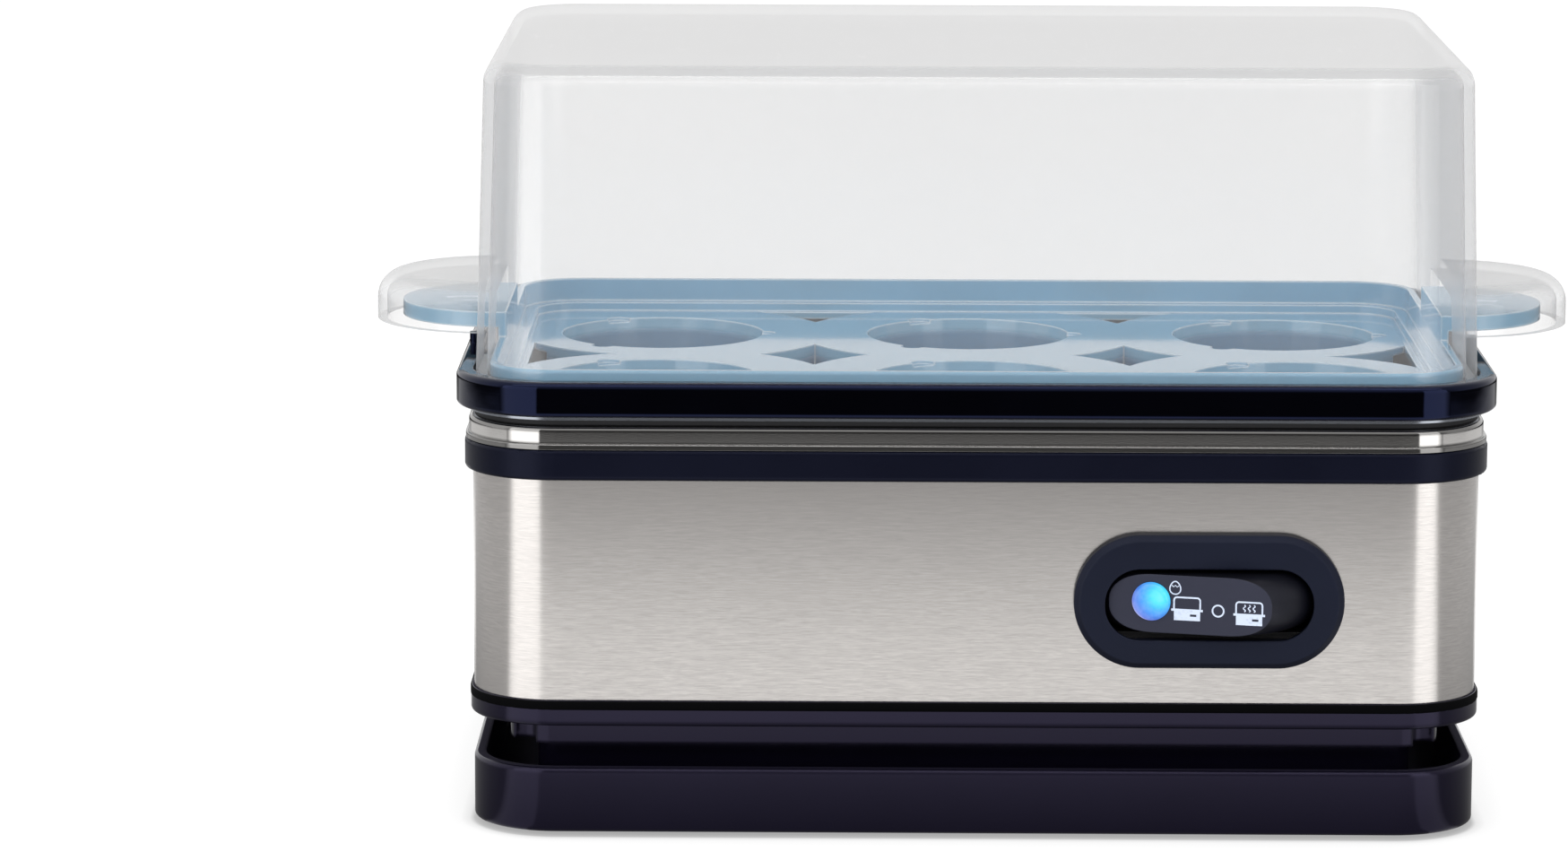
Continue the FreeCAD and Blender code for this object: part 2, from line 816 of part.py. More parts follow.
def make_steel_collar():
    body = new_body("steel_collar")
    inner = inset(dim.frame_inner_in)
    lip_top = dim.band_top + dim.collar_lip
    ring(body, "lip", inset(dim.collar_lip_in), inner, dim.band_top, lip_top)
    ring(body, "band", inset(dim.collar_in), inner, lip_top, dim.collar_top)
    round_outline(body, lip_top, dim.collar_lip_in, dim.fine_edge)
    round_outline(body, dim.collar_top, dim.collar_in, dim.collar_lip)
    return body


def make_pan_seal():
    body = new_body("pan_seal")
    inner = inset(dim.frame_inner_in)
    ring(body, "seal", inset(dim.seal_in), inner, dim.collar_top, dim.seal_top)
    return body


def make_top_rim():
    body = new_body("top_rim")
    bore = inset(dim.bore_in)
    outer = inset(NIL)
    ring(body, "foot", outer, bore, dim.rim_low, dim.tray_ledge_top)
    middle = inset(dim.tray_ledge_in)
    ring(body, "step", outer, middle, dim.tray_ledge_top, dim.lid_ledge_top)
    upper = inset(dim.lid_ledge_in)
    ring(body, "lip", outer, upper, dim.lid_ledge_top, dim.rim_top)
    round_outline(body, dim.rim_top, NIL, dim.rim_edge)
    round_outline(body, dim.rim_low, NIL, dim.soft_edge)
    spots = []
    for sx, sy in CORNERS:
        spots.append(((dim.rim_half_x - dim.post_in) * sx, dim.post_half_gap * sy))
    low = dim.rim_top - dim.rim_edge
    posts = circles_at(body, "posts", low, spots, dim.post_radius)
    pad(body, posts, dim.post_top - low)
    return body


# --- water pan and heating parts -------------------------------------------------------------
def make_heating_pan():
    body = new_body("heating_pan")
    plate(body, "flange", inset(dim.pan_flange_in), dim.seal_top, dim.rim_low)
    top = pan_outline(dim.pan_top_in, dim.pan_top_corner)
    foot = pan_outline(dim.pan_foot_in, dim.pan_foot_corner)
    low = dim.pan_floor - dim.pan_wall
    loft(body, "dish", foot, low, top, dim.seal_top)
    inner_top = pan_outline(dim.pan_top_in + dim.pan_wall, dim.pan_top_corner - dim.pan_wall)
    inner_foot = pan_outline(dim.pan_foot_in + dim.pan_wall, dim.pan_foot_corner - dim.pan_wall)
    loft(body, "water", inner_foot, dim.pan_floor, inner_top, dim.rim_low, cuts=True)
    return body


def pan_outline(amount, corner):
    half_x, half_y, _ = inset(amount)
    return (half_x, half_y, corner)


def plate_low():
    return dim.pan_floor - dim.pan_wall - dim.plate_thick


def make_heating_plate():
    body = new_body("heating_plate")
    outline = (dim.plate_half_x, dim.plate_half_y, dim.plate_corner)
    plate(body, "slab", outline, plate_low(), dim.pan_floor - dim.pan_wall)
    return body


def coil_height():
    return plate_low() - dim.coil_tube


def make_heating_element():
    bend = doc.addObject("Part::Torus", "element_bend")
    turn = FreeCAD.Rotation(Z_AXIS, 90)
    bend.Placement = FreeCAD.Placement(FreeCAD.Vector(0, 0, 0), turn)
    bind(bend, Radius1=dim.coil_radius, Radius2=dim.coil_tube)
    bend.Angle3 = 180
    place(bend, dim.coil_left, NIL, coil_height())
    pieces = [bend]
    for side, name in Y_SIDES:
        at = (dim.coil_left, dim.coil_radius * side, coil_height())
        long = dim.coil_right - dim.coil_left
        pieces.append(cylinder(f"element_leg_{name}", dim.coil_tube, long, *at, X_AXIS))
        tip = (dim.coil_right, dim.coil_radius * side, coil_height())
        pieces.append(cylinder(f"element_pin_{name}", dim.pin_radius, dim.pin_length, *tip, X_AXIS))
    return fuse("heating_element", *pieces)


def make_element_clamps():
    made = []
    under = coil_height() - dim.coil_tube - dim.clamp_thick
    for k, at in enumerate((dim.coil_left, dim.coil_right - dim.clamp_width * 2), start=1):
        strap = box(
            f"clamp_strap_{k}", dim.clamp_width, dim.clamp_half * 2, dim.clamp_thick, at,
            -dim.clamp_half, under,
        )
        legs = []
        for side, name in Y_SIDES:
            y = (dim.clamp_half - dim.clamp_thick * 0.5) * side
            legs.append(
                centred_box(
                    f"clamp_leg_{k}_{name}", dim.clamp_width, dim.clamp_thick,
                    plate_low() - under, at + dim.clamp_width * 0.5, y, under,
                )
            )
        made.append(fuse(f"element_clamp_{k}", strap, *legs))
    return made


def make_thermostat():
    low = plate_low() - dim.thermostat_height
    can = cylinder("thermostat_can", dim.thermostat_radius, dim.thermostat_height, NIL, NIL, low)
    tabs = []
    for side, name in X_SIDES:
        tabs.append(
            centred_box(
                f"thermostat_tab_{name}", dim.terminal_thick, dim.terminal_width,
                dim.terminal_length, dim.tab_pitch * 0.5 * side, NIL, low - dim.terminal_length,
            )
        )
    return fuse("thermostat", can, *tabs)


def make_thermostat_bracket():
    """Two lugs, one at each side of the thermostat's can, on the heating plate's underside."""
    thick = dim.clamp_thick
    wide = dim.thermostat_radius * 2 + thick * 2
    outer = centred_box(
        "bracket_outer", wide + dim.clamp_width * 2, dim.clamp_width, thick, NIL, NIL,
        plate_low() - thick,
    )
    hole = cylinder(
        "bracket_hole", dim.thermostat_radius, thick * 3, NIL, NIL, plate_low() - thick * 2
    )
    return cut("thermostat_bracket", outer, hole)


def make_thermal_fuse():
    z = plate_low() - dim.fuse_radius
    at = (dim.fuse_x, dim.fuse_y, z)
    return cylinder("thermal_fuse", dim.fuse_radius, dim.fuse_length, *at, X_AXIS)


def make_earth_tab():
    low = plate_low() - dim.terminal_length
    return centred_box(
        "earth_tab", dim.terminal_width, dim.terminal_thick, dim.terminal_length,
        dim.earth_x, NIL, low,
    )


# --- electrical parts on the deck ------------------------------------------------------------
def make_terminal_block():
    base = centred_box(
        "block_base", dim.block_length, dim.block_width, dim.block_height, dim.block_x,
        dim.block_y, dim.deck_top,
    )
    wells = []
    z = dim.deck_top + dim.block_height - dim.well_depth
    for k in range(3):
        x = dim.block_x + dim.well_pitch * (k - 1)
        wells.append(
            cylinder(f"block_well_{k}", dim.fuse_radius, dim.block_height, x, dim.block_y, z)
        )
    return cut("terminal_block", base, fuse("block_wells", *wells))


def make_circuit_board():
    return box(
        "circuit_board", dim.board_length, dim.board_width, dim.board_thick, dim.board_left,
        dim.board_front, dim.board_low,
    )


def board_top():
    return dim.board_low + dim.board_thick


def make_buzzer():
    can = cylinder(
        "buzzer_can", dim.buzzer_radius, dim.buzzer_height, dim.buzzer_x, dim.buzzer_y, board_top()
    )
    port = cylinder(
        "buzzer_port", dim.screw_radius, dim.buzzer_height, dim.buzzer_x, dim.buzzer_y,
        board_top() + dim.buzzer_floor,
    )
    return cut("buzzer", can, port)


def make_dropper_resistor():
    return box(
        "dropper_resistor", dim.resistor_length, dim.resistor_width, dim.resistor_height,
        dim.resistor_x, dim.resistor_y, board_top(),
    )


def make_capacitor():
    return cylinder(
        "capacitor", dim.capacitor_radius, dim.capacitor_height, dim.capacitor_x,
        dim.capacitor_y, board_top(),
    )


def bend_radius(before, here, after):
    """The largest arc at a point of a route that leaves each run a straight middle."""
    run_in = (here - before).Length
    run_out = (after - here).Length
    turn = (here - before).getAngle(after - here)
    return RUN_SHARE * min(run_in, run_out) / math.tan(turn / 2)


def bent_path(points):
    """Straight runs joined by tangent arcs."""
    edges = []
    start = points[0]
    for before, here, after in zip(points, points[1:], points[2:]):
        radius = bend_radius(before, here, after)
        incoming = (here - before).normalize()
        outgoing = (after - here).normalize()
        turn = incoming.getAngle(outgoing)
        back = radius * math.tan(turn / 2)
        entry = here - incoming * back
        leave = here + outgoing * back
        inward = (outgoing - incoming).normalize()
        middle = here + inward * (radius / math.cos(turn / 2) - radius)
        edges.append(Part.LineSegment(start, entry).toShape())
        edges.append(Part.Arc(entry, middle, leave).toShape())
        start = leave
    edges.append(Part.LineSegment(start, points[-1]).toShape())
    return Part.Wire(edges)


def make_lead(label, route):
    """A wire along a bent path in space, which no sketch-based feature gives."""
    points = [FreeCAD.Vector(*point) for point in route]
    path = bent_path(points)
    rim = Part.makeCircle(dims_sheet.get("lead_radius"), points[0], points[1] - points[0])
    piece = doc.addObject("Part::Feature", label)
    piece.Label = label
    piece.Shape = path.makePipeShell([Part.Wire([rim])], True, False)
    section = math.pi * dims_sheet.get("lead_radius") ** 2
    if abs(piece.Shape.Volume / (section * path.Length) - 1) > LEAD_TOLERANCE:
        raise RuntimeError(f"{label}: the sweep lost volume")
    return piece


def make_leads():
    return [make_lead(label, route) for label, route in LEAD_ROUTES.items()]


# --- switch ----------------------------------------------------------------------------------
def switch_centre():
    return (dim.switch_x, dim.switch_z)


def mouth_centre():
    return (dim.switch_x, dim.switch_z - dim.mouth_drop)


def make_switch_bezel():
    body = new_body("switch_bezel")
    plate_sketch = front_sketch(body, "frame", front_wall())
    half_x, half_z = dim.bezel_half_x, dim.bezel_half_z
    rounded_rect(plate_sketch, "b", half_x, half_z, half_z - dim.flat, switch_centre())
    pad(body, plate_sketch, dim.bezel_proud)
    front = -(front_wall() + dim.bezel_proud).value

    def on_front(point):
        return abs(point.y - front) < TOUCH

    dress(body, "Chamfer", on_front, dim.bezel_bevel, "Size")
    mouth = front_sketch(body, "mouth", front_wall() + dim.bezel_proud)
    mouth_z = dim.mouth_half_z
    rounded_rect(mouth, "m", dim.mouth_half_x, mouth_z, mouth_z - dim.flat, mouth_centre())
    pocket(body, mouth, dim.bezel_proud)
    relief = front_sketch(body, "relief", front_wall() + dim.bezel_proud - dim.bezel_lip)
    rounded_rect(relief, "r", dim.cell_half_x, mouth_z, dim.cell_corner, mouth_centre())
    pocket(body, relief, dim.bezel_proud - dim.bezel_lip)
    return body


def inner_wall():
    """Distance of the shell's inner face from the centre."""
    return front_wall() - dim.shell_wall


def make_switch_body():
    body = new_body("switch_body")
    half_x = dim.cell_half_x + dim.case_wall * 0.5
    half_z = dim.cell_half_z + dim.case_wall
    case = front_sketch(body, "case", inner_wall() - dim.case_depth)
    rounded_rect(case, "c", half_x, half_z, dim.cell_corner, switch_centre())
    pad(body, case, dim.case_depth)
    cell = front_sketch(body, "cell", inner_wall())
    rounded_rect(cell, "c", dim.cell_half_x, dim.cell_half_z, dim.cell_corner, switch_centre())
    pocket(body, cell, dim.case_depth - dim.case_back)
    top = dim.switch_z + dim.cell_half_z + dim.case_wall * 0.5
    bore = circles_at(body, "bore", top, [(dim.switch_x, -dim.pivot_depth)], dim.rocker_pin)
    pocket(body, bore, dim.cell_half_z * 2 + dim.case_wall)
    return body


def make_switch_terminals():
    pieces = []
    y = -(inner_wall() - dim.case_depth)
    z = dim.switch_z - dim.terminal_thick * 0.5
    for k in range(3):
        x = dim.switch_x + dim.terminal_pitch * (k - 1) - dim.terminal_width * 0.5
        pieces.append(
            box(
                f"terminal_{k}", dim.terminal_width, dim.terminal_length, dim.terminal_thick,
                x, y, z,
            )
        )
    return fuse("switch_terminals", *pieces)


def turn_to_rest(obj):
    """Put an object drawn in the rocker's frame at the pivot, turned to its rest position."""
    angle = -SHEET["rocker_rest"]
    obj.Placement = FreeCAD.Placement(
        FreeCAD.Vector(0, 0, 0), FreeCAD.Rotation(Z_AXIS, angle)
    )
    place(obj, dim.switch_x, -dim.pivot_depth, dim.switch_z)


def slab_sketch(body, name, half_x, low_y, high_y):
    """A rectangle over the rocker's top, from low_y to high_y in the rocker's frame."""
    sketch = level_sketch(body, name, dim.rocker_half_z + dim.soft_edge)
    half_y = (high_y - low_y) * 0.5
    rounded_rect(sketch, "s", half_x, half_y, dim.flat, (NIL, (high_y + low_y) * 0.5))
    return sketch


def make_rocker():
    """A barrel with rounded rims, cut flat in front and behind, on a round hub."""
    body = new_body("rocker")
    barrel = circles_at(body, "barrel", -dim.rocker_half_z, [(NIL, NIL)], dim.rocker_radius)
    pad(body, barrel, dim.rocker_half_z * 2)

    def on_rims(point):
        return abs(abs(point.z) - dim.rocker_half_z.value) < TOUCH

    dress(body, "Fillet", on_rims, dim.rocker_rim, "Radius")
    wide = dim.rocker_radius + dim.soft_edge
    through = (dim.rocker_half_z + dim.soft_edge) * 2
    front = slab_sketch(body, "face_cut", wide, -wide, -dim.rocker_face)
    pocket(body, front, through)
    back = slab_sketch(body, "back_cut", wide, -dim.rocker_back, wide)
    pocket(body, back, through)
    hub = circles_at(body, "hub", -dim.rocker_half_z, [(NIL, NIL)], dim.rocker_hub)
    pad(body, hub, dim.rocker_half_z * 2)
    bore = circles_at(body, "bore", dim.rocker_half_z, [(NIL, NIL)], dim.rocker_bore)
    pocket(body, bore, dim.rocker_half_z * 2)
    well = front_sketch(body, "lens_well", dim.rocker_face)
    circle(well, "w", dim.lens_at, dim.lens_up, dim.lens_radius)
    pocket(body, well, dim.lamp_pocket)
    turn_to_rest(body)
    return body


def make_rocker_pin():
    low = dim.switch_z - dim.cell_half_z - dim.case_wall * 0.5
    tall = dim.cell_half_z * 2 + dim.case_wall
    return cylinder("rocker_pin", dim.rocker_pin, tall, dim.switch_x, -dim.pivot_depth, low)


def make_lamp_lens():
    body = new_body("lamp_lens")
    disc = front_sketch(body, "disc", dim.rocker_face - dim.lens_depth)
    circle(disc, "d", dim.lens_at, dim.lens_up, dim.lens_radius)
    pad(body, disc, dim.lens_depth + dim.lens_dome)
    front = -(dim.rocker_face + dim.lens_dome).value

    def on_front(point):
        return abs(point.y - front) < TOUCH

    dress(body, "Fillet", on_front, dim.lens_edge, "Radius")
    turn_to_rest(body)
    return body


def make_lamp():
    body = new_body("lamp")
    back = front_sketch(body, "bulb", dim.rocker_face - dim.lamp_pocket)
    circle(back, "b", dim.lens_at, dim.lens_up, dim.lamp_radius)
    pad(body, back, dim.lamp_pocket - dim.lens_depth)
    turn_to_rest(body)
    return body


# --- egg tray --------------------------------------------------------------------------------
def hole_points():
    return [(dim.hole_pitch * k, dim.hole_row * side) for side in SIDES for k in (-1, 0, 1)]


def make_tray_body():
    body = new_body("tray_body")
    well = inset(dim.tray_well_in)
    floor_low = dim.tray_floor - dim.tray_thick
    plate(body, "floor", well, floor_low, dim.tray_floor)
    well_inner = inset(dim.tray_well_in + dim.tray_wall)
    ring(body, "well_wall", well, well_inner, dim.tray_floor, dim.tray_flange_top)
    edge = inset(dim.tray_in)
    ring(body, "flange", edge, well_inner, dim.tray_flange_low, dim.tray_flange_top)
    wall_inner = inset(dim.tray_in + dim.tray_wall)
    ring(body, "wall", edge, wall_inner, dim.tray_flange_top, dim.tray_top)
    round_outline(body, dim.tray_top, dim.tray_in, dim.tray_edge)
    for side, name in X_SIDES:
        stem = level_sketch(body, f"stem_{name}", dim.tray_flange_top)
        thick = dim.tray_wall * 0.5
        middle = (dim.rim_half_x - dim.tray_in - thick) * side
        rounded_rect(stem, "s", thick, dim.handle_radius, dim.flat, (middle, NIL))
        pad(body, stem, dim.handle_top - dim.tray_flange_top)
        grip = level_sketch(body, f"grip_{name}", dim.handle_low)
        half_disc(grip, "g", side, dim.handle_x, dim.handle_radius)
        pad(body, grip, dim.handle_top - dim.handle_low)
        under_top = dim.handle_top - dim.handle_wall
        under = level_sketch(body, f"under_{name}", under_top)
        half_disc(under, "u", side, dim.handle_x + dim.flat, dim.handle_radius - dim.handle_wall)
        pocket(body, under, under_top - dim.handle_low)
    low = floor_low - dim.collar_drop
    collars = circles_at(body, "collars", low, hole_points(), dim.collar_low_radius)
    pad(body, collars, dim.collar_drop, dim.collar_slope)
    holes = circles_at(body, "holes", dim.tray_floor, hole_points(), dim.hole_radius)
    pocket(body, holes, dim.tray_thick + dim.collar_drop, -dim.collar_slope)
    return body


def notch_points():
    points = []
    for x, y in hole_points():
        for angle in NOTCH_ANGLES:
            turn = math.radians(angle)
            points.append(
                (x + dim.hole_radius * math.cos(turn), y + dim.hole_radius * math.sin(turn))
            )
    return points


def vent_shapes(prefix, grow, half_y, reach, low, tall):
    """Steam openings, grown by an amount: what six round webs leave between and beside them."""
    middle = centred_box(
        f"{prefix}_field", (dim.centre_vent_x + grow) * 2, half_y * 2, tall, NIL, NIL, low
    )
    webs = []
    for k, (x, y) in enumerate(hole_points()):
        webs.append(cylinder(f"{prefix}_web_{k}", dim.web_arc - grow, tall, x, y, low))
    shapes = [cut(f"{prefix}_centre", middle, fuse(f"{prefix}_webs", *webs))]
    start = dim.end_vent_x - grow
    long = reach - start
    wide = (dim.end_vent_y + grow) * 2
    for side, name in X_SIDES:
        label = f"{prefix}_end_{name}"
        field = centred_box(f"{label}_field", long, wide, tall, (start + long * 0.5) * side, NIL, low)
        arcs = []
        for row, row_name in Y_SIDES:
            at = (dim.hole_pitch * side, dim.hole_row * row, low)
            arcs.append(cylinder(f"{label}_web_{row_name}", dim.end_arc - grow, tall, *at))
        shapes.append(cut(label, field, fuse(f"{label}_webs", *arcs)))
    return shapes


def make_vents():
    """Everything cut through the tray's floor but the egg holes."""
    drop = dim.tray_thick + dim.vent_drop
    low = dim.tray_floor - drop - dim.soft_edge
    tall = drop + dim.soft_edge * 2
    half_y = dim.rim_half_y - dim.vent_edge
    reach = dim.rim_half_x - dim.vent_edge
    pieces = vent_shapes("vent", NIL, half_y, reach, low, tall)
    for k, (x, y) in enumerate(notch_points()):
        at = (x, y, dim.tray_floor - dim.tray_thick * 0.5)
        pieces.append(cylinder(f"notch_{k}", dim.notch_radius, dim.tray_thick * 3, *at))
    return fuse("tray_vents", *pieces)


def make_skirts():
    """Short walls under the steam openings along the tray's middle."""
    low = dim.tray_floor - dim.tray_thick - dim.vent_drop
    tall = dim.vent_drop + dim.tray_thick * 0.5
    return vent_shapes("skirt", dim.skirt_wall, dim.skirt_half_y, dim.skirt_reach, low, tall)


def make_egg_tray():
    floor = fuse("skirted_tray", make_tray_body(), *make_skirts())
    return cut("egg_tray", floor, make_vents())


# --- lid -------------------------------------------------------------------------------------
def make_lid():
    body = new_body("lid")
    outside = level_sketch(body, "outside", dim.lid_low)
    rounded_rect(outside, "o", *inset(dim.lid_in))
    pad(body, outside, dim.lid_top - dim.lid_low, -dim.lid_slope)

    def on_top(point):
        return abs(point.z - dim.lid_top.value) < TOUCH

    dress(body, "Fillet", on_top, dim.lid_edge, "Radius")
    spots = [(dim.ear_x * side, NIL) for side in SIDES]
    for side, name in X_SIDES:
        ear = level_sketch(body, f"ear_{name}", dim.ear_low)
        half_disc(ear, "e", side, dim.ear_x, dim.ear_radius)
        pad(body, ear, dim.ear_top - dim.ear_low)

    def on_ear(point):
        on_level = abs(point.z - dim.ear_top.value) < TOUCH
        across = math.hypot(abs(point.x) - dim.ear_x.value, point.y)
        return on_level and abs(across - dim.ear_radius.value) < TOUCH

    dress(body, "Fillet", on_ear, dim.ear_edge, "Radius")
    roof = dim.lid_top - dim.lid_wall
    inside = level_sketch(body, "inside", roof)
    rounded_rect(inside, "o", *inset(dim.lid_in + dim.lid_wall + dim.lid_draft))
    pocket(body, inside, roof - dim.lid_low, dim.lid_slope)

    def on_ceiling(point):
        return abs(point.z - roof.value) < TOUCH

    dress(body, "Fillet", on_ceiling, dim.lid_inner_edge, "Radius")
    shelf = dim.ear_top - dim.ear_wall
    wells = circles_at(body, "ear_wells", shelf, spots, dim.ear_radius - dim.ear_wall)
    pocket(body, wells, shelf - dim.lid_low)

    def on_well(point):
        across = math.hypot(abs(point.x) - dim.ear_x.value, point.y)
        near = abs(across - (dim.ear_radius - dim.ear_wall).value) < TOUCH
        return near and abs(point.z - shelf.value) < TOUCH

    dress(body, "Fillet", on_well, dim.ear_edge - dim.ear_wall, "Radius")
    return body


# --- build, check and export -----------------------------------------------------------------
def build():
    parts = [make_plinth(), make_lower_housing(), make_steel_shell(), make_upper_band()]
    parts += [make_steel_collar(), make_pan_seal(), make_top_rim(), make_cord_gland()]
    parts += make_feet() + [make_housing_screws(), make_base_screws()]
    parts += [make_heating_pan(), make_heating_plate(), make_heating_element()]
    parts += make_element_clamps()
    parts += [make_thermostat(), make_thermostat_bracket(), make_thermal_fuse(), make_earth_tab()]
    parts += [make_terminal_block(), make_circuit_board(), make_buzzer()]
    parts += [make_dropper_resistor(), make_capacitor()]
    parts += make_leads()
    parts += [make_switch_bezel(), make_switch_body(), make_switch_terminals()]
    parts += [make_rocker(), make_rocker_pin(), make_lamp_lens(), make_lamp()]
    parts += [make_egg_tray(), make_lid()]
    return parts


def export(parts):
    doc.recompute()
    for obj in doc.Objects:
        if "Invalid" in obj.State or "Error" in obj.State:
            raise RuntimeError(f"{obj.Label} failed: {obj.State}")
    for obj in parts:
        shape = obj.Shape
        if shape.isNull() or not shape.isValid() or not shape.Solids:
            raise RuntimeError(f"{obj.Label} has no valid solid")
        shape.exportStep(f"parts/{obj.Label}.step")
        print(f"{obj.Label:24s} {len(shape.Solids)} solid(s) {shape.Volume:12.1f} mm3")


export(build())
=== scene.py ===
import bmesh
import bpy
import json
import math
from mathutils import Matrix, Vector


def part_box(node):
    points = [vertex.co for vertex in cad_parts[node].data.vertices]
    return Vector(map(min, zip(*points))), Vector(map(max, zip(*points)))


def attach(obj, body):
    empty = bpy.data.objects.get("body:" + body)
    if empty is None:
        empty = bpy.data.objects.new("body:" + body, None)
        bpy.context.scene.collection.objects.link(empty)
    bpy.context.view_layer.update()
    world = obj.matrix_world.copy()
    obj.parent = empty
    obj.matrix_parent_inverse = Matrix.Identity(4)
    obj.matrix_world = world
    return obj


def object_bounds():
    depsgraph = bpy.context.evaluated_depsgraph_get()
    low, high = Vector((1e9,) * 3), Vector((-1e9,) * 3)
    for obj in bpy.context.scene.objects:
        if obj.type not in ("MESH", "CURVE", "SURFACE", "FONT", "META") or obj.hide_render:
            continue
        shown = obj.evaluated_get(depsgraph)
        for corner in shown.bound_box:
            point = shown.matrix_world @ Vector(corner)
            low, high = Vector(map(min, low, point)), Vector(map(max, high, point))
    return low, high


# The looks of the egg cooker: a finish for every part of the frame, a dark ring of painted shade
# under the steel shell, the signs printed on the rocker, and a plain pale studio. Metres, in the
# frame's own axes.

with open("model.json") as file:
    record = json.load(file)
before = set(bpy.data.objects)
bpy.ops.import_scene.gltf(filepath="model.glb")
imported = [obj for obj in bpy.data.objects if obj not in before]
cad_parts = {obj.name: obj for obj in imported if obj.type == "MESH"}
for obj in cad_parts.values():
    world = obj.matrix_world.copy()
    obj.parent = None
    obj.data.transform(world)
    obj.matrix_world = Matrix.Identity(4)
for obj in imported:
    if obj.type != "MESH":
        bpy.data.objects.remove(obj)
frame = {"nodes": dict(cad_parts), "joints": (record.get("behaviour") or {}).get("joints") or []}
nodes = frame["nodes"]
cad_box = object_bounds()

MM = 0.001

# The shell, the housing's flange and the plinth have round corners about the same upright axes.
SHELL_CORNER = 16 * MM
CORNER_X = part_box("steel_shell")[1].x - SHELL_CORNER
CORNER_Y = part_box("steel_shell")[1].y - SHELL_CORNER

# At rest the rocker is at one end of its travel, in degrees from its middle place.
ROCKER_JOINT = next(joint for joint in frame["joints"] if joint["name"] == "rocker_turn")
ROCKER_REST = -ROCKER_JOINT["range_deg"][1] / 2


# --- small helpers ---------------------------------------------------------------------------
def shaded(colour, factor):
    """A colour made darker or lighter, no lighter than white."""
    return tuple(min(part * factor, 1) for part in colour)


def grey(level):
    return (level, level, level)


def put_in_scene(name, data):
    thing = bpy.data.objects.new(name, data)
    bpy.context.scene.collection.objects.link(thing)
    return thing


def mesh_data(name, mesh, material):
    """Blender's mesh from a bmesh, with its faces turned outward and one material."""
    bmesh.ops.recalc_face_normals(mesh, faces=mesh.faces)
    data = bpy.data.meshes.new(name)
    mesh.to_mesh(data)
    mesh.free()
    data.materials.append(material)
    return data


